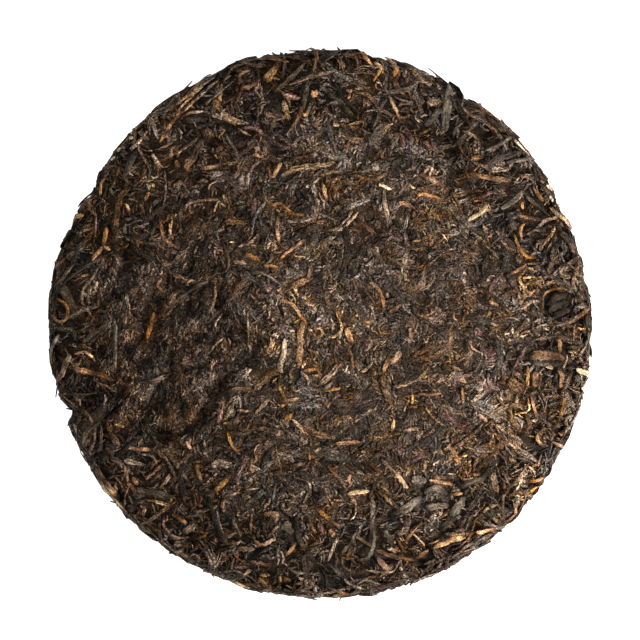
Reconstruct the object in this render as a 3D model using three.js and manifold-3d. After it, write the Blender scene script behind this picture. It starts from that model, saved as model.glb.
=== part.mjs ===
// A round cake of pressed dark tea, lying on its hollow back with the domed face up.
// Millimetres, +Z up, the origin on the resting plane under the middle of the cake.
import * as THREE from "three";
import { mergeVertices } from "three/addons/utils/BufferGeometryUtils.js";
import Module from "manifold-3d";

const wasm = await Module();
wasm.setup();

// The pressed body
const cakeRadius = 99.1; // mean distance from the middle to the outline, without the loose leaves
const crownHeight = 23; // thickness in the middle
const shoulderRadius = 90; // where the dome turns over into the rim
const shoulderHeight = 14.4; // height of the dome at the shoulder
const domePower = 2.5; // 2 is a plain parabola, more is flatter in the middle
const knotRadius = 31; // hollow left in the back by the knot of the pressing cloth
const knotDepth = 8;
// Slow waves of the outline: [waves round the rim, height in mm, bearing of a crest in degrees]
const outlineWaves = [[2, 0.65, 94.5], [3, 0.5, 80], [4, 0.3, 0], [6, 0.25, 113], [8, 0.25, 86]];
// Places where leaves have broken off the rim: [bearing in degrees, depth in mm, half width in degrees]
const rimBites = [[199, 2.6, 3.5], [150, 1.6, 4], [57, 1.2, 3], [26, 1.5, 4], [10, 1.2, 3], [357, 1.3, 3]];

// The shallow patch on the left where the top layer has flaked away
const flake = { x: -61, y: -9, halfLong: 35, halfWide: 24, turn: 78, depth: 2.3, edge: 0.2 };
// Dark gaps between the loose leaves near the rim: [x, y, radius, depth] in mm
const gaps = [
  [61.7, 75.4, 6, 2.2], [-81.4, -43.6, 7, 2.4], [80, 51, 5, 2.2], [91, 19, 6, 2.2],
  [-71.5, 26.8, 6, 2], [83, -31, 6, 1.8], [13, 93, 6, 1.6], [-36, -88, 5, 1.6],
];
const softRelief = 0.55; // unevenness of the pressed body, more towards the rim

// Facets of the body
const sectors = 60;
const domeRings = 11;
const rimRings = 4;
const backRings = 4;
const knotRings = 3;

// Loose leaves and shreds of the surface, largest first, each kind spread evenly over its ring.
// ring is the share of the radius as [inner, outer], past 1 on the rim's wall; length and width are
// mm as [least, most]; stray is how far in degrees a leaf may turn from lying along the rim.
const leafKinds = [
  { count: 19, ring: [0.78, 0.96], length: [18, 29], width: [5, 8.5], thick: 1.5, stray: 70, folded: true },
  { count: 18, ring: [0.98, 1.05], length: [15, 25], width: [4, 6.5], thick: 1.7, stray: 24 },
  { count: 19, ring: [0.62, 0.92], length: [14, 24], width: [3, 5], thick: 1.7, stray: 90 },
  { count: 17, ring: [0.08, 0.66], length: [11, 20], width: [2.4, 4.2], thick: 1.7, stray: 90 },
];
const leafSpacing = 7; // least distance in mm from the middle of a leaf that is shown by name
const seed = 20;
const evenTurn = 137.508; // degrees from one leaf to the next, which fills a ring evenly
const jitter = 5; // mm that a leaf may lie off its even place

// Pieces that can be told apart on the face: [x, y, heading in degrees, length, width, bend in degrees]
const shownLeaves = [
  [85.8, 41.8, -42, 27, 3, -18], [88.2, 35.8, 148, 15, 2.4, 30], [-85.5, 45.6, 50, 12, 2.2, 0],
  [-93.6, -13.6, 100, 14, 4.5, 12], [-93.8, -26.4, 210, 9, 2.4, 0], [98, 1.4, 95, 7, 4, 0],
  [-7, -8.6, 277, 17, 2.8, 8], [-13.1, -12.2, 256, 13, 2.2, -10], [40.6, 51.2, 333, 11, 2.4, 0],
  [24.1, 42.2, 276, 14, 2, 8], [57.5, 39.6, 36, 14, 2.2, 10], [29.2, 83.2, 270, 11, 2.4, 70],
  [76, 24.2, 290, 12, 2, -50], [-48.6, 43.4, 270, 21, 3.2, 12], [-45, 82, 43, 18, 4.6, 6],
  [29.9, -67.6, 20, 15, 3.6, 16], [45.6, -79.2, 22, 22, 2.2, 34],
  [21, -83.7, 336, 16, 2.2, 30], [2.6, -70.6, 322, 12, 2, 10], [-77.6, -58.4, 303, 17, 3.6, 8],
  [48, 76.8, 264, 20, 3.8, -12], [85.8, -28.8, 262, 20, 2.2, 16], [83.6, -12, 356, 13, 4.6, -8],
  [-58.8, -61.2, 344, 14, 3.2, 6], [-24, -6, 290, 16, 2.4, 14], [50, -62, 268, 12, 2.4, 20],
];
const shownThick = 1.7;

// How a leaf is cut: stations along it, how far it stands out of the body, how it waves
const stationEvery = 5; // mm
const standOut = 0.25;
const tipDive = 0.9;
const waveHeight = 0.35;
const tipWidth = 0.42; // width at a tip as a share of the full width
const foldDrop = 0.5; // a folded leaf's edges lie this much lower than its rib

const toRad = THREE.MathUtils.degToRad;
const clamp = THREE.MathUtils.clamp;
const mix = THREE.MathUtils.lerp;
const smoothstep = THREE.MathUtils.smoothstep;

// A small repeatable random number maker, 0 to 1
function makeDraw(start) {
  let state = start >>> 0;
  return () => {
    state = (state + 0x6d2b79f5) >>> 0;
    let t = state;
    t = Math.imul(t ^ (t >>> 15), t | 1);
    t ^= t + Math.imul(t ^ (t >>> 7), t | 61);
    return ((t ^ (t >>> 14)) >>> 0) / 4294967296;
  };
}

function angleBetween(a, b) {
  return Math.abs(((a - b + 540) % 360) - 180);
}

// Outline radius at a bearing in radians
function outlineAt(bearing) {
  const degrees = THREE.MathUtils.euclideanModulo(THREE.MathUtils.radToDeg(bearing), 360);
  let radius = cakeRadius;
  for (const [waves, height, crest] of outlineWaves)
    radius += height * Math.cos(waves * (bearing - toRad(crest)));
  for (const [at, depth, half] of rimBites) {
    const away = angleBetween(degrees, at) / half;
    if (away < 1) radius -= depth * (0.5 + 0.5 * Math.cos(Math.PI * away));
  }
  return radius;
}

// Uneven height of the body, a sum of crossed waves, between about -1 and 1
function unevenAt(x, y, z) {
  return (
    0.45 * Math.sin(0.31 * x + 0.12 * y + 0.9) * Math.cos(0.27 * y - 0.08 * x + 0.2 * z) +
    0.35 * Math.sin(0.53 * x - 0.41 * y + 0.3 * z + 2.1) +
    0.3 * Math.cos(0.74 * x + 0.62 * y + 0.8)
  );
}

// How deep the face is sunk at a place by the flaked patch and the gaps
function sunkAt(x, y) {
  const turn = toRad(flake.turn);
  const dx = x - flake.x;
  const dy = y - flake.y;
  const along = (dx * Math.cos(turn) + dy * Math.sin(turn)) / flake.halfLong;
  const across = (-dx * Math.sin(turn) + dy * Math.cos(turn)) / flake.halfWide;
  const ragged = 0.08 * Math.sin(5 * Math.atan2(across, along) + 0.6);
  const outside = smoothstep(Math.hypot(along, across) + ragged, 1 - flake.edge, 1 + flake.edge);
  let sunk = flake.depth * (1 - outside);
  for (const [gx, gy, radius, depth] of gaps) {
    const away = Math.hypot(x - gx, y - gy) / radius;
    if (away < 1) sunk += depth * (1 - away * away) ** 2;
  }
  return sunk;
}

// The half section of the cake. reach is the distance along the skin from the middle of the face
// or of the back.
const rimWide = cakeRadius - shoulderRadius;
const rimHigh = shoulderHeight / 2;
const rimTurn = (rimWide + rimHigh) / 2;
function sectionAt(reach, fromBack) {
  if (reach <= shoulderRadius) {
    if (!fromBack) {
      const fall = (reach / shoulderRadius) ** domePower;
      return { radius: reach, height: mix(crownHeight, shoulderHeight, fall) };
    }
    const inKnot = clamp(reach / knotRadius, 0, 1);
    return { radius: reach, height: knotDepth * (0.5 + 0.5 * Math.cos(Math.PI * inKnot)) };
  }
  const swing = Math.min((reach - shoulderRadius) / rimTurn, Math.PI);
  const up = fromBack ? -1 : 1;
  return {
    radius: shoulderRadius + rimWide * Math.sin(swing),
    height: rimHigh + up * rimHigh * Math.cos(swing),
  };
}

// A place on the skin. u and v are the skin laid out flat round the middle of the face or of the back.
function skinAt(u, v, fromBack = false) {
  const reach = Math.hypot(u, v);
  const bearing = Math.atan2(v, u);
  const { radius, height } = sectionAt(reach, fromBack);
  const scale = outlineAt(bearing) / cakeRadius;
  const x = radius * scale * Math.cos(bearing);
  const y = radius * scale * Math.sin(bearing);
  const onFace = smoothstep(height, rimHigh * 0.6, shoulderHeight * 0.9);
  const rough = softRelief * mix(0.5, 1.5, clamp(radius / cakeRadius, 0, 1) ** 3);
  const z = height + (fromBack ? 0 : onFace * (rough * unevenAt(x, y, height) - sunkAt(x, y)));
  return new THREE.Vector3(x, y, z);
}

// The outward direction of the face there
function outwardAt(u, v) {
  const step = 2;
  const along = skinAt(u + step, v).sub(skinAt(u - step, v));
  const across = skinAt(u, v + step).sub(skinAt(u, v - step));
  return along.cross(across).normalize();
}

// Positions and triangles as a solid
function solidFrom(places, triangles) {
  const shape = new THREE.BufferGeometry();
  const numbers = places.flatMap((p) => [p.x, p.y, p.z]);
  shape.setAttribute("position", new THREE.Float32BufferAttribute(numbers, 3));
  shape.setIndex(triangles);
  const closed = mergeVertices(shape);
  return new wasm.Manifold(
    new wasm.Mesh({
      numProp: 3,
      vertProperties: closed.attributes.position.array,
      triVerts: new Uint32Array(closed.index.array),
    }),
  );
}

// The pressed body: rings of the section from the middle of the face, over the rim, to the middle
// of the back
function makeBody() {
  const rings = [];
  for (let i = 1; i <= domeRings; i++) rings.push([(shoulderRadius * i) / domeRings, false]);
  const rimLength = rimTurn * Math.PI;
  for (let i = 1; i < rimRings; i++) rings.push([shoulderRadius + (rimLength * i) / rimRings, false]);
  for (let i = backRings; i >= 0; i--) rings.push([mix(knotRadius, shoulderRadius, i / backRings), true]);
  for (let i = knotRings - 1; i > 0; i--) rings.push([(knotRadius * i) / knotRings, true]);

  const places = [skinAt(0, 0, false)];
  for (const [reach, fromBack] of rings)
    for (let j = 0; j < sectors; j++) {
      const bearing = (2 * Math.PI * j) / sectors;
      places.push(skinAt(reach * Math.cos(bearing), reach * Math.sin(bearing), fromBack));
    }
  places.push(skinAt(0, 0, true));

  const last = places.length - 1;
  const triangles = [];
  for (let j = 0; j < sectors; j++) {
    const next = (j + 1) % sectors;
    triangles.push(0, 1 + j, 1 + next);
    for (let i = 0; i < rings.length - 1; i++) {
      const inner = 1 + i * sectors;
      const outer = inner + sectors;
      triangles.push(inner + j, outer + j, outer + next, inner + j, outer + next, inner + next);
    }
    const ring = 1 + (rings.length - 1) * sectors;
    triangles.push(ring + j, last, ring + next);
  }
  return solidFrom(places, triangles);
}

// One leaf or shred: a thin wavy strip that follows the skin, both faces split alike.
// A folded leaf has a rib down the middle with its edges lower.
function makeLeaf(leaf) {
  const { u, v, heading, length, width, thick, bend, roll, phase, folded } = leaf;
  const stations = clamp(Math.round(length / stationEvery) + 1, 3, 5);
  const columns = folded ? 3 : 2;
  const places = [];
  let pu = u;
  let pv = v;
  const step = length / (stations - 1);
  const route = [];
  for (let i = 0; i < stations; i++) {
    const turn = toRad(heading + bend * (i / (stations - 1) - 0.5));
    route.push([pu, pv, turn]);
    pu += step * Math.cos(turn);
    pv += step * Math.sin(turn);
  }
  const shiftU = u - (route[0][0] + route[stations - 1][0]) / 2;
  const shiftV = v - (route[0][1] + route[stations - 1][1]) / 2;
  route.forEach(([cu, cv, turn], i) => {
    const share = i / (stations - 1);
    const middle = skinAt(cu + shiftU, cv + shiftV);
    const ahead = skinAt(cu + shiftU + Math.cos(turn), cv + shiftV + Math.sin(turn));
    const out = outwardAt(cu + shiftU, cv + shiftV);
    const along = ahead.sub(middle).normalize();
    const across = out.clone().cross(along).normalize();
    const tilt = roll * (share - 0.5);
    const side = across.clone().applyAxisAngle(along, tilt);
    const up = out.clone().applyAxisAngle(along, tilt);
    const belly = Math.sin(Math.PI * mix(0.08, 0.92, share));
    const half = (width / 2) * mix(tipWidth, 1, belly);
    const lift = standOut - tipDive * (1 - belly) ** 2 + waveHeight * Math.sin(2 * Math.PI * share + phase);
    for (const face of [1, -1])
      for (let c = 0; c < columns; c++) {
        const across01 = c / (columns - 1);
        const rib = folded ? -foldDrop * Math.abs(2 * across01 - 1) : 0;
        places.push(
          middle.clone()
            .addScaledVector(side, half * (2 * across01 - 1))
            .addScaledVector(up, lift + rib + (face * thick) / 2),
        );
      }
  });
  const triangles = [];
  const quad = (a, b, c, d) => triangles.push(a, b, c, a, c, d);
  const row = 2 * columns;
  for (let i = 0; i < stations - 1; i++) {
    const here = i * row;
    const there = here + row;
    for (let c = 0; c < columns - 1; c++) {
      quad(here + c, there + c, there + c + 1, here + c + 1);
      const under = columns + c;
      triangles.push(here + under, there + under + 1, there + under);
      triangles.push(here + under, here + under + 1, there + under + 1);
    }
    quad(here, here + columns, there + columns, there);
    const right = columns - 1;
    quad(here + right, there + right, there + right + columns, here + right + columns);
  }
  const end = (stations - 1) * row;
  for (let c = 0; c < columns - 1; c++) {
    quad(c, c + 1, columns + c + 1, columns + c);
    quad(end + c, end + columns + c, end + columns + c + 1, end + c + 1);
  }
  return solidFrom(places, triangles);
}

function scatterLeaves() {
  const draw = makeDraw(seed);
  const between = ([least, most]) => mix(least, most, draw());
  const leaves = shownLeaves.map(([u, v, heading, length, width, bend]) => ({
    u, v, heading, length, width, bend, thick: shownThick, roll: 0.3, phase: draw() * 6,
  }));
  const shown = shownLeaves.map(([x, y]) => [x, y]);
  leafKinds.forEach(({ count, ring: [inner, outer], stray, ...kind }, k) => {
    for (let i = 0; i < count; i++) {
      const bearing = (i + k / leafKinds.length) * evenTurn;
      const reach = cakeRadius * Math.sqrt(mix(inner ** 2, outer ** 2, (i + 0.5) / count));
      const u = reach * Math.cos(toRad(bearing)) + jitter * (draw() - 0.5);
      const v = reach * Math.sin(toRad(bearing)) + jitter * (draw() - 0.5);
      const leaf = {
        ...kind, u, v,
        heading: bearing + 90 + stray * (2 * draw() - 1),
        length: between(kind.length),
        width: between(kind.width),
        bend: 50 * (draw() - 0.5),
        roll: 0.8 * (draw() - 0.5),
        phase: draw() * 6,
      };
      if (shown.every(([x, y]) => Math.hypot(x - u, y - v) > leafSpacing)) leaves.push(leaf);
    }
  });
  return leaves;
}

// The body with its leaves fused on. Only the largest piece is kept, which leaves out a loose scrap
// and fills a sealed hollow.
function makeCake() {
  let cake = makeBody();
  for (const leaf of scatterLeaves()) cake = cake.add(makeLeaf(leaf));
  const pieces = cake.decompose().sort((a, b) => b.volume() - a.volume());
  const { vertProperties, triVerts } = pieces[0].getMesh();
  const shape = new THREE.BufferGeometry();
  shape.setAttribute("position", new THREE.BufferAttribute(new Float32Array(vertProperties), 3));
  shape.setIndex(Array.from(triVerts));
  return shape;
}

const pressedTea = new THREE.MeshStandardMaterial({ color: 0x4d4034, roughness: 0.8, metalness: 0 });
const cake = new THREE.Mesh(makeCake(), pressedTea);
cake.name = "tea_cake";

// Centred over the origin, on its lowest face
cake.geometry.computeBoundingBox();
const box = cake.geometry.boundingBox;
const middle = box.getCenter(new THREE.Vector3());
cake.geometry.translate(-middle.x, -middle.y, -box.min.z);
cake.geometry.computeVertexNormals();

const group = new THREE.Group();
group.add(cake);

export default group;
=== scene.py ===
import math

import bpy
import numpy as np
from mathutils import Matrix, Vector


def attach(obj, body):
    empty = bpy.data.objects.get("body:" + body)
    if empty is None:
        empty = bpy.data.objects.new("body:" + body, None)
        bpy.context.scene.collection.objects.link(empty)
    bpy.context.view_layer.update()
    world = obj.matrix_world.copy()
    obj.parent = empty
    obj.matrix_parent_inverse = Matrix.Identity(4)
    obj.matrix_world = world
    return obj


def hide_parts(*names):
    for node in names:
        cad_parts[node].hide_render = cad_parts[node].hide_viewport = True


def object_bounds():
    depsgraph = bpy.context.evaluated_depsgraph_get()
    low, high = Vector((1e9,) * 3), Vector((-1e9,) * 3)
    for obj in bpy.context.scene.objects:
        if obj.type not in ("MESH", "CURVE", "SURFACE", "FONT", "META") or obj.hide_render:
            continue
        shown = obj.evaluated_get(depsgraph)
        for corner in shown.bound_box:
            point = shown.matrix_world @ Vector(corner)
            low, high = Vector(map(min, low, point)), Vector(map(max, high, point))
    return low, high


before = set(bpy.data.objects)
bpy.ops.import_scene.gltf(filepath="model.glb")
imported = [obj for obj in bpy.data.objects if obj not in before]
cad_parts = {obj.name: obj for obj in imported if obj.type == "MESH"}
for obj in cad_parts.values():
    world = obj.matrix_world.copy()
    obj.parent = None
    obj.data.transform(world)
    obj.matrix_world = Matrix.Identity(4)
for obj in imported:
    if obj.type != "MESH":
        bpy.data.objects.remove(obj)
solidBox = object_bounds()
print("frame loaded")

metresPerMm = 0.001
fullTurn = 6.28
boxMargin = 0.02
boxLow = np.array(solidBox[0]) / metresPerMm + boxMargin  # no leaf passes these corners, in mm
boxHigh = np.array(solidBox[1]) / metresPerMm - boxMargin

# How the photograph lies over the cake: mm to a pixel, and the pixel of the middle
photoView = dict(mmPerPixel=0.365, middle=(320.8, 324.0), imageWidth=640, cameraHeight=1000.0, rimHeight=7.0)

# The pressed body, as in the solid
cakeShape = dict(
    radius=98.2, crown=22.9, shoulderRadius=90.0, shoulderHeight=14.4, domePower=2.5,
    knotRadius=31.0, knotDepth=8.0, backHeight=0.7, relief=0.55,
    waves=((1, 0.4, 268), (2, 0.65, 94.5), (3, 0.5, 80), (4, 0.3, 0), (6, 0.25, 113), (8, 0.25, 86)),
    bites=((199, 3.0, 3.2), (150, 1.8, 3.5), (57, 1.3, 2.5), (26, 0.7, 3.5), (10, 1.0, 3), (357, 1.4, 3)),
)
rimWide = cakeShape["radius"] - cakeShape["shoulderRadius"]
rimHigh = cakeShape["shoulderHeight"] / 2
rimTurn = (rimWide + rimHigh) / 2
halfRim = cakeShape["shoulderRadius"] + rimTurn * math.pi / 2  # reach of the outermost line

# Where the top layer has flaked off on the left: photo pixels round its edge, and how deep it is in mm
flakedPatch = dict(
    edge=((113, 251), (131, 262), (160, 268), (193, 291), (214, 300), (246, 330), (263, 344), (241, 366),
          (220, 381), (212, 406), (190, 430), (165, 440), (125, 430), (97, 442), (84, 415), (78, 385),
          (92, 345), (88, 300), (90, 266)),
    depth=2.4, sharpSide=(0.75, -0.66), softEdge=4.0, sharpEdge=0.8,
    middle=(-60, -10), halfSpan=(55, 50),  # a square in mm that holds the patch and its cracks
    fray=((1.6, 5, 3), (0.7, 1.8, 4)),     # how the edge wanders: mm, cell in mm, seed
    # lumpPaintedShade paints the clumps of the flaked patch lighter on top and darker in the hollows between
    # them: painted light and painted shade
    lump=1.3, lumpSize=5.0, lumpPaintedShade=0.2, run=1.45, runStray=0.55,
)
# Dark cracks: photo pixels along them, half width in mm, depth in mm
cracks = (
    (((262, 344), (250, 356), (239, 368), (228, 377)), 0.5, 1.6),
    (((231, 374), (220, 382), (213, 398), (204, 411), (196, 422), (190, 430)), 1.1, 3.0),
    (((192, 428), (176, 435), (158, 437)), 0.9, 2.2), (((118, 250), (130, 257), (144, 259)), 1.1, 2.6),
    (((212, 276), (196, 295), (188, 303)), 0.6, 1.6), (((150, 432), (166, 441), (180, 448)), 1.0, 2.0),
)
crackWander = dict(stray=0.5, cell=2.5, seeds=(7, 8))
# Dark gaps between the loose leaves of the rim: photo pixel, radius in mm, depth in mm
rimGaps = (
    ((489, 116), 5, 2.6), ((505, 131), 4, 2.2), ((535, 179), 4, 2.4), ((570, 256), 6, 2.8),
    ((97, 442), 7, 2.6), ((124, 249), 6, 2.0), ((580, 336), 4, 2.2), ((66, 247), 5, 2.2),
    ((548, 400), 6, 1.8), ((455, 140), 5, 1.6), ((356, 66), 5, 1.8), ((222, 84), 5, 1.6),
    ((184, 546), 6, 1.8), ((262, 575), 5, 1.6), ((80, 398), 6, 2.4), ((505, 470), 6, 1.6),
    ((113, 500), 4, 1.8), ((560, 310), 4, 1.4), ((405, 130), 4, 1.6),
)
# Broad areas of the face painted lighter and darker, partly painted light and shade and partly the leaves'
# own tone: photo pixel, radius in mm, change of tone
paintedLightShadeAreas = (
    ((205, 212), 17, -0.12), ((220, 292), 15, -0.14), ((165, 395), 15, -0.14), ((84, 403), 11, -0.42),
    ((163, 333), 10, -0.12), ((160, 358), 8, -0.12), ((330, 245), 14, -0.08), ((202, 492), 15, -0.15),
    ((270, 562), 13, -0.13), ((402, 562), 6, -0.12), ((370, 80), 10, 0.42), ((400, 80), 6, 0.15),
    ((440, 200), 10, 0.28), ((505, 402), 13, 0.18), ((522, 482), 9, 0.2), ((478, 400), 7, 0.05),
    ((440, 480), 8, 0.1), ((520, 402), 9, 0.24), ((272, 562), 8, 0.14), ((360, 160), 9, 0.2),
    ((540, 160), 7, 0.1), ((140, 185), 9, 0.22), ((120, 320), 8, 0.1), ((400, 322), 8, 0.1),
    ((400, 200), 8, 0.1), ((200, 402), 7, 0.22), ((560, 400), 6, 0.2), ((520, 335), 9, 0.14),
    ((556, 318), 4, 0.1), ((440, 365), 8, 0.1), ((480, 160), 6, 0.12), ((120, 400), 7, 0.12),
    ((440, 490), 7, 0.12), ((200, 358), 7, -0.12), ((160, 282), 7, -0.12), ((440, 430), 10, 0.1),
    ((480, 460), 9, 0.14), ((440, 280), 9, -0.1), ((240, 280), 9, -0.1), ((160, 445), 9, -0.12),
    ((120, 480), 8, -0.1), ((236, 445), 8, -0.14), ((160, 520), 8, -0.1), ((240, 120), 8, -0.1),
    ((320, 118), 8, 0.14), ((238, 362), 7, 0.12), ((523, 285), 9, 0.3), ((442, 510), 9, 0.2),
    ((362, 325), 8, 0.22), ((320, 460), 9, -0.16), ((160, 120), 10, 0.4), ((578, 316), 4, -0.25),
    ((530, 180), 10, 0.16),
)
paintedLightShadeReach = 1.5  # an area has faded out at this many of its radii
# Which way the leaves run: neighbours lie roughly alongside. Cell in mm, swing in half turns, seed
leafRun = ((36, 1.5, 21), (13, 0.45, 22))


def smoothstep(value, low, high):
    share = np.clip((value - low) / (high - low), 0, 1)
    return share * share * (3 - 2 * share)


def normalized(vectors):
    return vectors / np.maximum(np.linalg.norm(vectors, axis=-1, keepdims=True), 1e-9)


# Soft random heights between -1 and 1, one bump to a cell
def valueNoise(x, y, cell, seed):
    size = 128
    table = np.random.default_rng(seed).uniform(-1, 1, (size, size))
    gridX, gridY = x / cell, y / cell
    column, row = np.floor(gridX).astype(int), np.floor(gridY).astype(int)
    fx, fy = gridX - column, gridY - row
    fx, fy = fx * fx * (3 - 2 * fx), fy * fy * (3 - 2 * fy)

    def corner(right, up):
        return table[(column + right) % size, (row + up) % size]

    low = corner(0, 0) * (1 - fx) + corner(1, 0) * fx
    high = corner(0, 1) * (1 - fx) + corner(1, 1) * fx
    return low * (1 - fy) + high * fy


# Heading of the leaves at a place, in radians
def runAt(u, v):
    return sum(np.pi * swing * valueNoise(u, v, cell, seed) for cell, swing, seed in leafRun)


# Radius of the cake from above at a bearing
def outlineAt(bearing):
    degrees = np.degrees(bearing) % 360
    radius = np.full(np.shape(bearing), cakeShape["radius"])
    for waves, height, crest in cakeShape["waves"]:
        radius = radius + height * np.cos(waves * (bearing - math.radians(crest)))
    for at, depth, half in cakeShape["bites"]:
        away = np.abs((degrees - at + 540) % 360 - 180) / half
        radius = radius - np.where(away < 1, depth * (0.5 + 0.5 * np.cos(np.pi * np.minimum(away, 1))), 0)
    return radius


# Radius and height on the half section, at a distance along the skin from the middle of the face or back
def sectionAt(reach, fromBack):
    shape = cakeShape
    inside = np.minimum(reach, shape["shoulderRadius"])
    if fromBack:
        inKnot = np.clip(inside / shape["knotRadius"], 0, 1)
        flat = shape["knotDepth"] * (0.5 + 0.5 * np.cos(np.pi * inKnot))
    else:
        fall = (inside / shape["shoulderRadius"]) ** shape["domePower"]
        flat = shape["crown"] + (shape["shoulderHeight"] - shape["crown"]) * fall
    swing = np.clip((reach - shape["shoulderRadius"]) / rimTurn, 0, np.pi)
    onRim = reach > shape["shoulderRadius"]
    up = -1 if fromBack else 1
    radius = np.where(onRim, shape["shoulderRadius"] + rimWide * np.sin(swing), inside)
    height = np.where(onRim, rimHigh + up * rimHigh * np.cos(swing), flat)
    return radius, np.maximum(height, shape["backHeight"])


# mm on the face for photo pixels
def fromPhoto(pixels):
    view = photoView
    flat = (np.asarray(pixels, float) - view["middle"]) * view["mmPerPixel"] * (1, -1)
    reach = np.hypot(flat[..., 0], flat[..., 1])
    height = sectionAt(np.minimum(reach, cakeShape["shoulderRadius"]), False)[1]
    nearer = 1 - (height - view["rimHeight"]) / view["cameraHeight"]
    return flat * nearer[..., None]


# The slow unevenness of the pressed face, as in the solid
def unevenAt(x, y, z):
    return (0.45 * np.sin(0.31 * x + 0.12 * y + 0.9) * np.cos(0.27 * y - 0.08 * x + 0.2 * z)
            + 0.35 * np.sin(0.53 * x - 0.41 * y + 0.3 * z + 2.1)
            + 0.3 * np.cos(0.74 * x + 0.62 * y + 0.8))


# How far in mm places lie from the straight line between two points
def awayFromStraight(x, y, start, end):
    (ax, ay), (bx, by) = start, end
    ex, ey = bx - ax, by - ay
    share = np.clip(((x - ax) * ex + (y - ay) * ey) / (ex * ex + ey * ey), 0, 1)
    return np.hypot(x - ax - share * ex, y - ay - share * ey)


# How far in mm a place lies inside the flaked patch (negative outside), and how sharp the edge is there
def insidePatch(x, y):
    edge = fromPhoto(flakedPatch["edge"])
    best = np.full(np.shape(x), 1e9)
    sharp = np.zeros(np.shape(x))
    inside = np.zeros(np.shape(x), bool)
    for start, end in zip(edge, np.roll(edge, -1, axis=0)):
        (ax, ay), (bx, by) = start, end
        ex, ey = bx - ax, by - ay
        away = awayFromStraight(x, y, start, end)
        outward = np.array((-ey, ex)) / np.hypot(ex, ey)
        facing = smoothstep(outward @ flakedPatch["sharpSide"], 0.1, 0.8)
        sharp = np.where(away < best, facing, sharp)
        best = np.minimum(best, away)
        crosses = (ay > y) != (by > y)
        inside ^= crosses & (x < ex * (y - ay) / np.where(ey == 0, 1e-9, ey) + ax)
    return np.where(inside, best, -best), sharp


# How far in mm places lie from the nearest stretch of a line
def awayFromLine(x, y, line):
    best = np.full(np.shape(x), 1e9)
    for start, end in zip(line, line[1:]):
        best = np.minimum(best, awayFromStraight(x, y, start, end))
    return best


# 1 at a photo pixel, falling softly to 0 at a radius in mm
def softSpot(x, y, pixel, radius):
    spotX, spotY = fromPhoto(pixel)
    away = np.minimum(np.hypot(x - spotX, y - spotY) / radius, 1)
    return (1 - away * away) ** 2


# True in a square round the flaked patch, so that only these places are worked through
def nearPatch(x, y):
    (atX, atY), (halfX, halfY) = flakedPatch["middle"], flakedPatch["halfSpan"]
    return (np.abs(x - atX) < halfX) & (np.abs(y - atY) < halfY)


# 1 inside the flaked patch, 0 outside
def patchShare(x, y):
    near = nearPatch(x, y)
    share = np.zeros(np.shape(x))
    share[near] = smoothstep(insidePatch(x[near], y[near])[0], -1, 2)
    return share


# Clumps of crushed leaf in the flaked patch
def lumpsAt(x, y):
    size = flakedPatch["lumpSize"]
    return valueNoise(x, y, size, 5) + 0.6 * valueNoise(x, y, size / 2.2, 6)


# How deep the face is sunk by the flaked patch, the cracks and the gaps
def sunkAt(x, y):
    patch = flakedPatch
    near = nearPatch(x, y)
    sunk = np.zeros(np.shape(x))
    nearX, nearY = x[near], y[near]
    deep, sharp = insidePatch(nearX, nearY)
    for stray, cell, seed in patch["fray"]:
        deep = deep + stray * valueNoise(nearX, nearY, cell, seed)
    soft = patch["softEdge"] + (patch["sharpEdge"] - patch["softEdge"]) * sharp
    inner = smoothstep(deep, -0.5 * soft, 0.5 * soft)
    sunk[near] = inner * (patch["depth"] - patch["lump"] * lumpsAt(nearX, nearY))
    wander, (seedX, seedY) = crackWander, crackWander["seeds"]
    crackX = nearX + wander["stray"] * valueNoise(nearX, nearY, wander["cell"], seedX)
    crackY = nearY + wander["stray"] * valueNoise(nearX, nearY, wander["cell"], seedY)
    for pixels, halfWide, deepness in cracks:
        away = awayFromLine(crackX, crackY, fromPhoto(pixels))
        sunk[near] += deepness * np.exp(-(away / halfWide) ** 2)
    for pixel, radius, depth in rimGaps:
        sunk += depth * softSpot(x, y, pixel, radius)
    return sunk


# How much lighter or darker the leaves of a broad area are painted: painted light and shade over the face,
# and in the flaked patch painted shade in the hollows between the clumps
def paintedLightShadeAt(x, y):
    shade = flakedPatch["lumpPaintedShade"] * patchShare(x, y) * lumpsAt(x, y)
    for pixel, radius, change in paintedLightShadeAreas:
        shade += change * softSpot(x, y, pixel, paintedLightShadeReach * radius)
    return shade


# A place on the skin; u and v are the skin laid out flat round the middle of the face or of the back
def skinAt(u, v, fromBack):
    reach = np.hypot(u, v)
    bearing = np.arctan2(v, u)
    radius, height = sectionAt(reach, fromBack)
    scale = outlineAt(bearing) / cakeShape["radius"]
    x, y = radius * scale * np.cos(bearing), radius * scale * np.sin(bearing)
    if not fromBack:
        onFace = smoothstep(height, rimHigh * 0.6, rimHigh * 1.8)
        rough = cakeShape["relief"] * (0.5 + (radius / cakeShape["radius"]) ** 3)
        height = height + onFace * (rough * unevenAt(x, y, height) - sunkAt(x, y))
    return np.stack([x, y, height], -1)


# u and v on the face for a place seen from above
def chartFromPlace(x, y):
    bearing = np.arctan2(y, x)
    radius = np.hypot(x, y) * cakeShape["radius"] / outlineAt(bearing)
    shoulder = cakeShape["shoulderRadius"]
    swing = np.arcsin(np.clip((radius - shoulder) / rimWide, 0, 1))
    reach = np.where(radius > shoulder, shoulder + swing * rimTurn, radius)
    return reach * np.cos(bearing), reach * np.sin(bearing)


# Where the leaves grow loose: a band of reach, and how it wanders (share, cell in mm, seed)
loosening = dict(band=(0.6, 0.95), wander=0.07, cell=16, seed=11)


# 0 where the leaves are pressed flat, 1 where they lie loose near the rim
def looseAt(u, v):
    rules = loosening
    wander = rules["wander"] * valueNoise(u, v, rules["cell"], rules["seed"])
    return smoothstep(np.hypot(u, v) / halfRim + wander, *rules["band"])


# A screen colour, 0 to 255, as the shader's own numbers
def linear(red, green, blue):
    share = np.array([red, green, blue]) / 255
    made = np.where(share <= 0.04045, share / 12.92, ((share + 0.055) / 1.055) ** 2.4)
    return (*made, 1.0)


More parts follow.
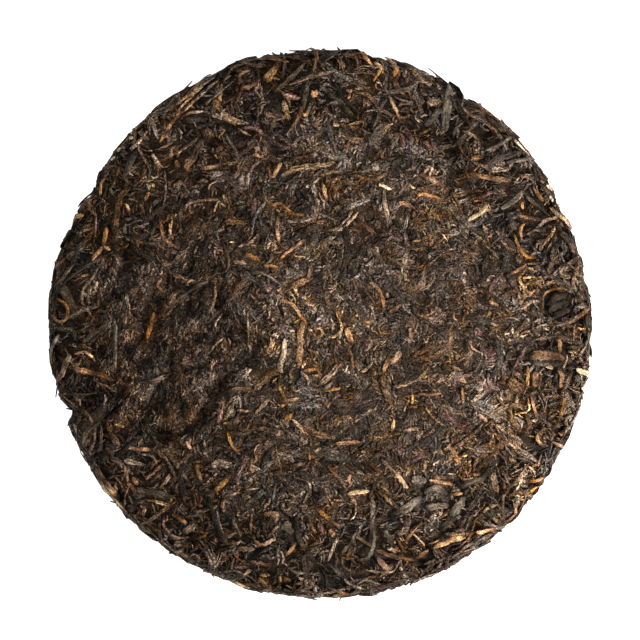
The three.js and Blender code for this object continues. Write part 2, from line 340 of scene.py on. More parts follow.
# A smooth mesh from arrays. Each leaf has its own cell of the map OFBake.
def writeMesh(name, places, corners, counts, mapPlaces=None, **attributes):
    mesh = bpy.data.meshes.new(name)
    mesh.vertices.add(len(places))
    mesh.loops.add(len(corners))
    mesh.polygons.add(len(counts))
    mesh.vertices.foreach_set("co", (places * metresPerMm).astype(np.float32).ravel())
    mesh.loops.foreach_set("vertex_index", corners.astype(np.int32))
    starts = np.concatenate([[0], np.cumsum(counts)[:-1]])
    mesh.polygons.foreach_set("loop_start", starts.astype(np.int32))
    mesh.update(calc_edges=True)
    mesh.polygons.foreach_set("use_smooth", np.ones(len(counts), bool))
    if mapPlaces is not None:
        layer = mesh.uv_layers.new(name="OFBake")
        layer.data.foreach_set("uv", mapPlaces.astype(np.float32).ravel())
    for key, values in attributes.items():
        isVector = values.ndim == 2
        layer = mesh.attributes.new(key, "FLOAT_VECTOR" if isVector else "FLOAT", "POINT")
        layer.data.foreach_set("vector" if isVector else "value", values.astype(np.float32).ravel())
    mesh.validate(clean_customdata=False)
    piece = bpy.data.objects.new(name, mesh)
    bpy.context.collection.objects.link(piece)
    return piece


# Gives a piece its finish and its place in the part
def dress(piece, material):
    piece.data.materials.append(material)
    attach(piece, "root")
    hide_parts("tea_cake")
    triangles = len(piece.data.loops) - 2 * len(piece.data.polygons)
    print(piece.name, "made,", triangles, "triangles")


# Stations of bent leaves: chart places from a middle, a heading and two bends
def wander(leaves, stations, rng):
    count = len(leaves["u"])
    share = np.linspace(-0.5, 0.5, stations)[None, :]
    turn = (leaves["heading"][:, None] + leaves["bend"][:, None] * share
            + leaves["sway"][:, None] * np.sin(2 * np.pi * share + rng.uniform(0, fullTurn, (count, 1))))
    step = leaves["length"][:, None] / (stations - 1)
    half = (turn[:, 1:] + turn[:, :-1]) / 2
    u = np.concatenate([np.zeros((count, 1)), np.cumsum(step * np.cos(half), 1)], 1)
    v = np.concatenate([np.zeros((count, 1)), np.cumsum(step * np.sin(half), 1)], 1)
    u += leaves["u"][:, None] - u.mean(1, keepdims=True)
    v += leaves["v"][:, None] - v.mean(1, keepdims=True)
    return u, v


# Corners of one closed strip, and its cell of the map rolled out flat
def stripFaces(stations, around):
    k = np.arange(around)
    rows = np.arange(stations - 1)[:, None]
    lastTip = 1 + stations * around

    def ringAt(j, c):
        return 1 + j * around + c % around

    def level(j):
        return (j + 1) / (stations + 1)

    quads = np.stack([ringAt(rows, k), ringAt(rows, k + 1), ringAt(rows + 1, k + 1), ringAt(rows + 1, k)], -1)
    firstFan = np.stack([0 * k, ringAt(0, k + 1), ringAt(0, k)], -1)
    lastFan = np.stack([0 * k + lastTip, ringAt(stations - 1, k), ringAt(stations - 1, k + 1)], -1)
    quadU = np.broadcast_to(np.stack([k, k + 1, k + 1, k], -1), quads.shape)
    quadV = np.stack([level(rows), level(rows), level(rows + 1), level(rows + 1)], -1)
    quadV = np.broadcast_to(quadV, quads.shape)
    firstU, lastU = np.stack([k + 0.5, k + 1, k], -1), np.stack([k + 0.5, k, k + 1], -1)
    firstV = np.broadcast_to([0.0, level(0), level(0)], firstU.shape)
    lastV = np.broadcast_to([1.0, level(stations - 1), level(stations - 1)], lastU.shape)
    corners = np.concatenate([quads.ravel(), firstFan.ravel(), lastFan.ravel()])
    counts = np.concatenate([np.full((stations - 1) * around, 4), np.full(2 * around, 3)])
    cellU = np.concatenate([quadU.ravel(), firstU.ravel(), lastU.ravel()]) / around
    cellV = np.concatenate([quadV.ravel(), firstV.ravel(), lastV.ravel()])
    return corners, counts, cellU, cellV


# How a leaf strip is formed and shaded, the same for every kind of leaf
leafForm = dict(
    probe=0.4,     # mm to the side, to find the lie of the skin
    spanning=0.6,  # how far a leaf bridges small hollows
    crimpPitch=(1.2, 3.4), crimpAside=0.4, crimpWide=0.6,  # radians to a mm, then shares of the raggedness
    widthStray=0.5, ridgeStray=0.5, ridgeEdge=0.6,
    taper=0.6, faceFlat=0.8, tipShare=0.5, longestTip=0.5, curlLevel=0.35, cupLevel=0.4,
    blotchPitch=(0.3, 1.1), darkEnds=1.6, darkEdges=0.7,
    ownNumbers=400, cellsAcross=2.2, cellMargin=0.04,
)


# The middle line of leaves on the skin, and the directions out of it, along it and across it
def leafAxes(u, v, fromBack):
    probe = leafForm["probe"]
    middle = skinAt(u, v, fromBack)
    alongU = skinAt(u + probe, v, fromBack) - middle
    alongV = skinAt(u, v + probe, fromBack) - middle
    out = normalized(np.cross(alongU, alongV)) * (-1 if fromBack else 1)
    stepU, stepV = np.gradient(u, axis=1), np.gradient(v, axis=1)
    size = np.hypot(stepU, stepV) + 1e-9
    along = normalized(alongU * (stepU / size)[..., None] + alongV * (stepV / size)[..., None])
    out = normalized(out + leafForm["spanning"] * out.mean(1, keepdims=True))
    along = normalized(along - out * np.sum(along * out, -1, keepdims=True))
    return middle, out, along, np.cross(out, along)


# Corners of all the leaves of a piece, and each leaf's own cell of the map
def leafCells(count, stations, around):
    oneLeaf, oneCount, cellU, cellV = stripFaces(stations, around)
    number = np.arange(count)[:, None]
    corners = (number * (stations * around + 2) + oneLeaf[None, :]).ravel()
    columns = int(math.ceil(math.sqrt(count * leafForm["cellsAcross"])))
    lines = int(math.ceil(count / columns))
    margin = leafForm["cellMargin"]
    mapU = (number % columns + margin + (1 - 2 * margin) * cellU) / columns
    mapV = (number // columns + margin + (1 - 2 * margin) * cellV) / lines
    return corners, np.tile(oneCount, count), np.stack([mapU, mapV], -1).reshape(-1, 2)


# The grain runs with the leaf: mm across, mm along, and a number of the leaf's own
def leafGrain(arc, across, length, rng):
    count = len(arc)
    ownNumber = rng.uniform(0, leafForm["ownNumbers"], (count, 1, 1))
    arcs = np.broadcast_to(arc[..., None], across.shape)
    grain = np.stack([across, arcs, np.broadcast_to(ownNumber, across.shape)], -1).reshape(count, -1, 3)
    ends = np.stack([-length / 2, length / 2], 1)
    tips = np.stack([np.zeros((count, 2)), ends, np.repeat(ownNumber[:, 0], 2, 1)], -1)
    return np.concatenate([tips[:, :1], grain, tips[:, 1:]], 1).reshape(-1, 3)


# A mesh of many leaves laid along their stations: closed strips with pointed or broken ends
def layLeaves(name, leaves, u, v, around, fromBack, rng):
    form = leafForm
    count, stations = u.shape
    share = np.linspace(-1, 1, stations)[None, :]
    column = {key: values[:, None] for key, values in leaves.items()}
    arc = share * column["length"] / 2

    def wavesAlong(pitch):
        return np.sin(arc * rng.uniform(*pitch, (count, 1)) + rng.uniform(0, fullTurn, (count, 1)))

    # The middle line lifts, pitches, curls and waves over the skin
    middle, out, along, side = leafAxes(u, v, fromBack)
    phase = rng.uniform(0, fullTurn, (count, 1))
    height = (column["lift"] + column["pitch"] * arc + column["curl"] * (share ** 2 - form["curlLevel"])
              + column["wave"] * np.sin(share * column["waves"] + phase))
    centre = middle + out * height[..., None]
    roll = column["tilt"] + column["twist"] * share / 2
    sideways = side * np.cos(roll)[..., None] + out * np.sin(roll)[..., None]
    upward = out * np.cos(roll)[..., None] - side * np.sin(roll)[..., None]
    taper = (1 - np.abs(share) ** column["fullness"]) ** form["taper"]
    taper = column["blunt"] + (1 - column["blunt"]) * taper
    crimp = wavesAlong(form["crimpPitch"])
    centre = centre + side * (form["crimpAside"] * crimp * column["ragged"] * column["width"])[..., None]
    crimp = form["crimpWide"] * wavesAlong(form["crimpPitch"])
    crimp = crimp + form["widthStray"] * rng.uniform(-1, 1, (count, stations))
    taper = taper * (1 + column["ragged"] * crimp)
    halfWide = column["width"] / 2 * taper
    halfThick = column["thick"] / 2 * np.sqrt(np.clip(taper, 0.1, 2))

    # The section is a flattened ring, cupped and ridged
    angle = 2 * np.pi * np.arange(around) / around
    flatX = np.cos(angle)
    flatZ = np.sign(np.sin(angle)) * np.abs(np.sin(angle)) ** form["faceFlat"]
    ridges = rng.uniform(-1, 1, (count, 1, around)) * leaves["ridge"][:, None, None]
    ridges = ridges * (1 + form["ridgeStray"] * rng.uniform(-1, 1, (count, stations, around)))
    across = halfWide[..., None] * flatX
    cupped = leaves["cup"][:, None, None] * halfWide[..., None] * (flatX ** 2 - form["cupLevel"])
    rise = halfThick[..., None] * flatZ + cupped + ridges * (1 - form["ridgeEdge"] * np.abs(flatX))
    ring = centre[:, :, None] + sideways[:, :, None] * across[..., None]
    ring = ring + upward[:, :, None] * rise[..., None]
    tipOut = np.minimum(form["tipShare"] * halfWide, form["longestTip"])
    firstTip = centre[:, 0] - along[:, 0] * tipOut[:, :1]
    lastTip = centre[:, -1] + along[:, -1] * tipOut[:, -1:]
    places = np.concatenate([firstTip[:, None], ring.reshape(count, -1, 3), lastTip[:, None]], 1)
    places = np.clip(places.reshape(-1, 3), boxLow, boxHigh)

    # Each leaf is blotched along its length and darker at its ends and edges
    grain = leafGrain(arc, across, leaves["length"], rng)
    blotches = wavesAlong(form["blotchPitch"])
    tone = column["tone"] + column["blotch"] * (blotches - form["darkEnds"] * share ** 6)
    tone = tone[..., None] - leaves["blotch"][:, None, None] * form["darkEdges"] * np.abs(flatX) ** 3
    tone = np.concatenate([tone[:, :1, 0], tone.reshape(count, -1), tone[:, -1:, 0]], 1).ravel()
    corners, counts, mapPlaces = leafCells(count, stations, around)
    return writeMesh(name, places, corners, counts, mapPlaces, tone=tone, grain=grain)


# How scattered leaves lie, the same for every kind
scatter = dict(
    tries=4, sizeStray=(0.85, 1.15), sideBySide=1.05, aheadStray=0.12, headingStray=0.1, bendStray=0.1,
    rimBand=(0.93, 1.0), rimShare=0.85, rimStray=0.55,  # near the edge most leaves run along the rim
    wallBand=(0.94, 1.0), wallCalm=0.5,                 # and on its wall they rise less
    longer=(0.9, 0.6),                                  # length where pressed, and more of it where loose
    pressed=dict(pitch=0.012, curl=0.04, tilt=0.05, twist=0.15), pressedWave=0.25,
    waves=(2, 7), fullness=(1.6, 5), toneStray=0.06,
)


# Random leaves spread over the skin, some lying side by side in bundles
def drawLeaves(kind, rng):
    rules = scatter
    inner, outer = kind["ring"]
    many = kind["count"] * kind.get("tries", rules["tries"])
    reach = halfRim * np.sqrt(rng.uniform(inner ** 2, outer ** 2, many))
    bearing = rng.uniform(0, 2 * np.pi, many)
    u, v = reach * np.cos(bearing), reach * np.sin(bearing)
    wanted = rng.uniform(0, 1, many) < kind["keep"](u, v, looseAt(u, v))
    u, v, bearing = u[wanted], v[wanted], bearing[wanted]
    bundle = rng.integers(1, kind["together"] + 1, len(u))
    owner = np.repeat(np.arange(len(u)), bundle)[:kind["count"]]
    rank = (np.arange(len(owner)) - (np.cumsum(bundle) - bundle)[owner]) - (bundle[owner] - 1) / 2
    groups, count = len(u), len(owner)

    def skewed(key):
        low, high = kind[key]
        share = rng.uniform(0, 1, groups)[owner] ** kind["skew"]
        return (low + (high - low) * share) * rng.uniform(*rules["sizeStray"], count)

    def between(key):
        return rng.uniform(*kind[key], count)

    def spread(size):
        return rng.normal(0, 1, count) * size

    def loosened(key):
        return spread(rules["pressed"][key] + kind[key] * loose)

    # The bundles run with their neighbours, or along the rim
    onEdge = smoothstep(np.hypot(u, v) / halfRim, *rules["rimBand"])
    turned = rng.normal(0, 1, groups)
    free = np.where(patchShare(u, v) > 0.5, flakedPatch["run"] + turned * flakedPatch["runStray"],
                    runAt(u, v) + turned * kind["stray"])
    alongRim = bearing + np.pi / 2 + rng.uniform(-rules["rimStray"], rules["rimStray"], groups)
    heading = np.where(rng.uniform(0, 1, groups) < onEdge * rules["rimShare"], alongRim, free)[owner]
    pressedLong, looseLonger = rules["longer"]
    length = skewed("length") * (pressedLong + looseLonger * looseAt(u, v)[owner])
    width = skewed("width")
    aside, ahead = rank * width * rules["sideBySide"], spread(rules["aheadStray"]) * length
    u = u[owner] - np.sin(heading) * aside + np.cos(heading) * ahead
    v = v[owner] + np.cos(heading) * aside + np.sin(heading) * ahead

    loose = looseAt(u, v)
    low, high = kind["rise"]
    onWall = smoothstep(np.hypot(u, v) / halfRim, *rules["wallBand"])
    rise = (low + (high - low) * loose) * (1 - rules["wallCalm"] * onWall)
    bend = rng.normal(0, 1, groups)[owner] * kind["bend"]
    # The tone takes the painted light and shade of the broad areas
    tone = rng.beta(*kind["tones"], groups)[owner] + (0 if kind.get("fromBack") else paintedLightShadeAt(u, v))
    return dict(
        u=u, v=v, heading=heading + spread(rules["headingStray"]), length=length, width=width,
        thick=between("thick"), bend=bend + spread(rules["bendStray"]), sway=spread(kind["sway"]),
        lift=kind["low"] + rise * rng.uniform(-1, 1, count), pitch=loosened("pitch"), curl=loosened("curl"),
        wave=between("wave") * (rules["pressedWave"] + loose), waves=rng.uniform(*rules["waves"], count),
        tilt=loosened("tilt"), twist=loosened("twist"), fullness=rng.uniform(*rules["fullness"], count),
        blunt=between("blunt"), ragged=between("ragged"), ridge=between("ridge"), cup=spread(kind["cup"]),
        tone=np.clip(tone + spread(rules["toneStray"]), 0, 1), blotch=rng.uniform(0, kind["blotch"], count),
    )


# Materials

def newMaterial(name):
    material = bpy.data.materials.new(name)
    material.use_nodes = True
    tree = material.node_tree
    tree.nodes.clear()
    shader = tree.nodes.new("ShaderNodeBsdfPrincipled")
    out = tree.nodes.new("ShaderNodeOutputMaterial")
    tree.links.new(shader.outputs[0], out.inputs["Surface"])

    def add(kind, inputs=None, links=None, **settings):
        node = tree.nodes.new("ShaderNode" + kind)
        for key, value in settings.items():
            setattr(node, key, value)
        for key, value in (inputs or {}).items():
            node.inputs[key].default_value = value
        for key, socket in (links or {}).items():
            tree.links.new(socket, node.inputs[key])
        return node

    return material, tree, shader, add


def fillRamp(ramp, stops):
    while len(ramp.elements) < len(stops):
        ramp.elements.new(0.5)
    for element, (place, colour) in zip(ramp.elements, stops):
        element.position = place
        element.color = linear(*colour)


# Painted sheen: the middle of the face is painted paler, as the hazy gloss of the light overhead: places and
# reaches in metres, and how much paler
paintedSheenMiddle = dict(centre=(-0.008, 0.010, 0.0225), fullTo=0.006, fadedBy=0.030, paler=0.23)


# Dry leaf: a tone for each leaf, fibres along it, stains over it, painted shade in its creases, a painted
# sheen over the middle of the face, and a dull gloss on its ridges
def leafMaterial(name, look):
    material, tree, shader, add = newMaterial(name)
    tone = add("Attribute", attribute_name="tone").outputs["Fac"]
    grain = add("Attribute", attribute_name="grain").outputs["Vector"]
    place = add("TexCoord").outputs["Object"]

    def noise(vector, scale, detail, rough=0.6):
        sizes = {"Scale": scale, "Detail": detail, "Roughness": rough}
        return add("TexNoise", sizes, {"Vector": vector}).outputs["Fac"]

    def between(value, low, high, least=0.35, most=0.65):
        return add("MapRange", {1: least, 2: most, 3: low, 4: high}, {0: value}).outputs[0]

    def combine(one, other, operation="ADD"):
        return add("Math", None, {0: one, 1: other}, operation=operation).outputs[0]

    stretched = add("VectorMath", {1: (*look["fibres"], 1.0)}, {0: grain}, operation="MULTIPLY").outputs[0]
    fibre = noise(stretched, 1.0, 3.0, 0.65)
    crinkle = noise(place, look["crinkleScale"], 2.0)
    stain = noise(place, look["stainScale"], 3.0)
    # The middle of the face is painted paler, a painted sheen
    away = add("VectorMath", {1: paintedSheenMiddle["centre"]}, {0: place}, operation="DISTANCE").outputs["Value"]
    middleSheen = between(away, paintedSheenMiddle["paler"], 0.0, paintedSheenMiddle["fullTo"], paintedSheenMiddle["fadedBy"])
    swing = look["stainSwing"]
    ramp = add("ValToRGB", None, {0: combine(tone, combine(between(stain, -swing, swing), middleSheen))})
    fillRamp(ramp.color_ramp, look["colours"])
    own = add("SeparateXYZ", None, {0: grain}).outputs["Z"]
    chance = add("TexWhiteNoise", None, {"W": own}, noise_dimensions="1D")
    hueChance = add("SeparateXYZ", None, {0: chance.outputs["Color"]}).outputs["Y"]
    warmth = between(noise(place, look["warmthScale"], 2.0), *look["warmth"])
    strength = combine(between(chance.outputs["Value"], *look["strength"], 0.0, 1.0), warmth, "MULTIPLY")
    hue = between(hueChance, 0.5 - look["hueSwing"], 0.5 + look["hueSwing"], 0.0, 1.0)
    # The fibre and crinkle noises darken and lighten the colour: painted shade in the creases and painted
    # light on the ridges, over the leaf's own streaks
    fibreLight = between(fibre, *look["fibreShade"], *look["fibreBand"])
    crinkleLight = between(crinkle, *look["crinkleShade"], *look["crinkleBand"])
    speck = between(noise(place, look["speckScale"], 0.0), 0.0, look["speckShade"], *look["speckBand"])
    creaseShadeAndSpecks = combine(combine(fibreLight, crinkleLight, "MULTIPLY"), speck)
    shade = add("HueSaturation", None, {"Hue": hue, "Saturation": strength, "Value": creaseShadeAndSpecks,
                                        "Color": ramp.outputs["Color"]})
    tree.links.new(shade.outputs["Color"], shader.inputs["Base Color"])

    tree.links.new(between(fibre, *look["rough"]), shader.inputs["Roughness"])
    shader.inputs["Specular IOR Level"].default_value = look["specular"]
    shader.inputs["Specular Tint"].default_value = look["glossTint"]
    relief = combine(fibre, crinkle)
    bump = add("Bump", {"Strength": look["bump"], "Distance": look["bumpDepth"]}, {"Height": relief})
    tree.links.new(bump.outputs[0], shader.inputs["Normal"])
    return material


# A finish of dry leaf: each colour stands at its tone, and a band is the part of a noise that is used
def leafLook(colours, **changes):
    look = dict(
        # fibreShade and crinkleShade are how far the colour is darkened in creases and lightened on ridges,
        # as painted shade and painted light
        fibres=(1.7, 0.35), fibreShade=(0.12, 1.76), fibreBand=(0.38, 0.62),
        crinkleScale=1500.0, crinkleShade=(0.22, 1.66), crinkleBand=(0.4, 0.6),
        speckScale=1900.0, speckShade=0.6, speckBand=(0.58, 0.68), stainScale=170.0, stainSwing=0.09,
        strength=(0.76, 0.96), hueSwing=0.008, warmthScale=90.0, warmth=(0.72, 1.16), rough=(0.42, 0.7),
        specular=0.09, glossTint=(1.0, 0.88, 0.74, 1.0), bump=0.8, bumpDepth=0.0005, colours=colours,
    )
    look.update(changes)
    return look


# Pressed bed: everything under the leaves, with the crushed shreds as relief

bedSizes = dict(
    seed=41, faceCell=0.95, rimCell=1.0, backCell=1.9, cellGrowth=1.06, probe=0.6,
    sunkCentre=0.7, sunkRim=2.55, faceRelief=0.75,  # mm under the skin, and how much the shreds stand out
    sunkBack=0.5, sunkBackRim=0.95, backFlatTo=60, backRelief=0.3, backClear=0.25,
    strokes=26000, strokeLength=(2, 9), strokeWidth=(0.5, 1.8), strokeLevel=0.5, strokeStray=0.6,
    strokeBend=0.5, strokeSteps=25, strokeLines=(-0.9, -0.6, -0.3, 0, 0.3, 0.6, 0.9), strokeCrown=0.5,
    rasterCell=0.4,
    # looseGapShade: the bed is painted darker where the leaves are loose, painted shade in the deep gaps
    # between them
    toneSwing=0.75, looseGapShade=0.65, patchPaler=0.2,
)
bedLook = leafLook(
    ((0.0, (16, 9, 4)), (0.35, (42, 30, 20)), (0.7, (66, 51, 38)), (1.0, (94, 75, 57))),
    fibres=(1.3, 1.3), strength=(1.0, 1.0), hueSwing=0.0, rough=(0.5, 0.8), specular=0.15, stainSwing=0.2,
)


# Heights and tones of crushed shreds painted over a square of the skin, the highest on top.
# Each cell holds a height in whole steps and, below it, the number of its shred.
def paintStrokes(rng, half):
    sizes = bedSizes
    cell, many = sizes["rasterCell"], sizes["strokes"]
    heightSteps, numbers = 1e6, 65536
    cells = int(2 * half / cell)
    canvas = np.zeros(cells * cells, np.int64)
    length, width = rng.uniform(*sizes["strokeLength"], many), rng.uniform(*sizes["strokeWidth"], many)
    level = rng.uniform(0, sizes["strokeLevel"], many)
    u, v = rng.uniform(-half, half, many), rng.uniform(-half, half, many)
    heading = runAt(u, v) + rng.normal(0, sizes["strokeStray"], many)
    bend = rng.normal(0, sizes["strokeBend"], many)
    for share in np.linspace(-0.5, 0.5, sizes["strokeSteps"]):
        turn = heading + bend * share
        for across in sizes["strokeLines"]:
            x = u + length * share * np.cos(turn) - across * width / 2 * np.sin(turn)
            y = v + length * share * np.sin(turn) + across * width / 2 * np.cos(turn)
            crown = np.sqrt((1 - across ** 2) * (1 - (1.9 * share) ** 2))
            height = level + sizes["strokeCrown"] * width * crown
            column, row = ((x + half) / cell).astype(int), ((y + half) / cell).astype(int)
            ok = (column >= 0) & (column < cells) & (row >= 0) & (row < cells)
            packed = (height * heightSteps).astype(np.int64) * numbers + np.arange(many)
            np.maximum.at(canvas, (column * cells + row)[ok], packed[ok])
    heights = (canvas // numbers / heightSteps).reshape(cells, cells)
    tones = ((canvas % numbers) * 0.61803 % 1.0).reshape(cells, cells)
    return heights, tones


# Rings of the section, from the middle of the face, over the rim, to the middle of the back
def bedRings():
    sizes = bedSizes
    rings = []
    reach = sizes["faceCell"]
    while reach < halfRim:
        rings.append((reach, False, sizes["faceCell"]))
        reach += sizes["faceCell"]
    reach, cell = halfRim, sizes["rimCell"]
    while reach > sizes["backCell"]:
        rings.append((reach, True, cell))
        cell = min(sizes["backCell"], cell * sizes["cellGrowth"])
        reach -= cell
    return rings


# Triangles between rings of differing numbers of places, closed at both middles
def bedFaces(ringSize):
    starts = np.concatenate([[1], 1 + np.cumsum(ringSize)])
    first, last = np.arange(ringSize[0]), np.arange(ringSize[-1])
    faces = [np.stack([0 * first, 1 + first, 1 + (first + 1) % ringSize[0]], -1)]
    for r in range(len(ringSize) - 1):
        inner, outer = ringSize[r], ringSize[r + 1]
        i, j = np.arange(inner), np.arange(outer)
        apexOuter = (outer * (i + 1)) // inner
        apexInner = -((-inner * (j + 1)) // outer) - 1
        here, there = starts[r], starts[r + 1]
        faces.append(np.stack([here + i, there + apexOuter % outer, here + (i + 1) % inner], -1))
        faces.append(np.stack([here + apexInner % inner, there + j, there + (j + 1) % outer], -1))
    ring = starts[-2]
    faces.append(np.stack([ring + last, 0 * last + starts[-1], ring + (last + 1) % ringSize[-1]], -1))
    return np.concatenate(faces)


def makeBed():
    sizes = bedSizes
    half = halfRim + 2
    heights, tones = paintStrokes(np.random.default_rng(sizes["seed"]), half)
    rings = bedRings()
    ringSize = [max(8, int(2 * np.pi * min(reach, cakeShape["radius"]) / cell)) for reach, _, cell in rings]
    uParts, vParts, backParts = [[0.0]], [[0.0]], [[False]]
    for (reach, fromBack, _), number in zip(rings, ringSize):
        bearing = 2 * np.pi * np.arange(number) / number
        uParts.append(reach * np.cos(bearing))
        vParts.append(reach * np.sin(bearing))
        backParts.append(np.full(number, fromBack))
    u, v = np.concatenate(uParts + [[0.0]]), np.concatenate(vParts + [[0.0]])
    back = np.concatenate(backParts + [[True]])
    places, inward = np.empty((len(u), 3)), np.empty((len(u), 3))
    for fromBack in (False, True):
        pick = back == fromBack
        here = skinAt(u[pick], v[pick], fromBack)
        alongU = skinAt(u[pick] + sizes["probe"], v[pick], fromBack) - here
        alongV = skinAt(u[pick], v[pick] + sizes["probe"], fromBack) - here
        places[pick] = here
        inward[pick] = normalized(np.cross(alongU, alongV)) * (1 if fromBack else -1)

    # The bed lies under the skin, deeper where the leaves are loose, with the shreds as relief
    cell = sizes["rasterCell"]
    column, row = ((u + half) / cell).astype(int), ((v + half) / cell).astype(int)
    rise = heights[column, row]
    loose = looseAt(u, v)
    sunk = sizes["sunkCentre"] + (sizes["sunkRim"] - sizes["sunkCentre"]) * loose
    toRim = smoothstep(np.hypot(u, v), sizes["backFlatTo"], halfRim)
    sunkBack = sizes["sunkBack"] + (sizes["sunkBackRim"] - sizes["sunkBack"]) * toRim
    depth = np.where(back, sunkBack - sizes["backRelief"] * rise, sunk - sizes["faceRelief"] * rise)
    places = places + inward * depth[:, None]
    places[back, 2] = np.maximum(places[back, 2], sizes["backClear"])
    places = np.clip(places, boxLow, boxHigh)

    # Where the leaves are loose the bed is painted darker, painted shade in the gaps
    tone = sizes["toneSwing"] * tones[column, row] * (1 - sizes["looseGapShade"] * loose)
    # The broad areas add their painted light and shade to the bed too
    tone = tone + sizes["patchPaler"] * patchShare(u, v) + np.where(back, 0, paintedLightShadeAt(u, v))
    grain = np.stack([u, v, 0 * u], -1)
    faces = bedFaces(ringSize)
    return writeMesh("pressedBed", places, faces.ravel(), np.full(len(faces), 3), tone=tone, grain=grain)


print("pressed bed")
dress(makeBed(), leafMaterial("crushedLeaf", bedLook))


# Colours of the leaves, from the darkest to the palest tone of each family

darkLook = leafLook(
    ((0.0, (15, 8, 4)), (0.3, (39, 28, 17)), (0.55, (64, 50, 36)), (0.8, (98, 81, 65)),
     (1.0, (134, 113, 92))),
    strength=(0.7, 0.9),
)
greyLook = leafLook(
    ((0.0, (25, 20, 15)), (0.3, (52, 43, 34)), (0.6, (83, 71, 58)), (1.0, (128, 113, 93))),
    fibreShade=(0.35, 1.5), crinkleShade=(0.45, 1.4), speckShade=0.3, bump=0.5, strength=(0.9, 1.1),
)
brownLook = leafLook(
    ((0.0, (33, 20, 10)), (0.3, (65, 45, 28)), (0.55, (95, 71, 49)), (0.8, (130, 102, 75)),
     (1.0, (166, 136, 103))),
    strength=(0.82, 1.04),
)
crumbLook = leafLook(
    ((0.0, (18, 12, 8)), (0.3, (44, 31, 21)), (0.6, (76, 56, 40)), (1.0, (136, 107, 80))),
)
redLook = leafLook(
    ((0.0, (36, 19, 14)), (0.4, (74, 44, 32)), (0.75, (108, 69, 50)), (1.0, (144, 98, 72))),
    strength=(0.7, 0.9), warmth=(0.8, 1.1),
)
goldLook = leafLook(
    ((0.0, (58, 38, 22)), (0.25, (106, 72, 42)), (0.5, (150, 107, 66)), (0.75, (188, 146, 96)),
     (1.0, (228, 197, 142))),
    fibreShade=(0.4, 1.38), crinkleShade=(0.4, 1.4), speckShade=0.4, hueSwing=0.004, strength=(0.8, 1.0),
    warmth=(0.85, 1.15),
)
paleLook = leafLook(
    ((0.0, (86, 65, 45)), (0.4, (141, 113, 80)), (0.75, (186, 154, 114)), (1.0, (232, 203, 160))),
    fibreShade=(0.45, 1.4), crinkleShade=(0.45, 1.4), speckShade=0.4, hueSwing=0.004, strength=(0.8, 1.0),
    warmth=(0.85, 1.15),
)


# Leaves that can be told apart in the photograph: width in mm, tone, then the photo pixels they pass

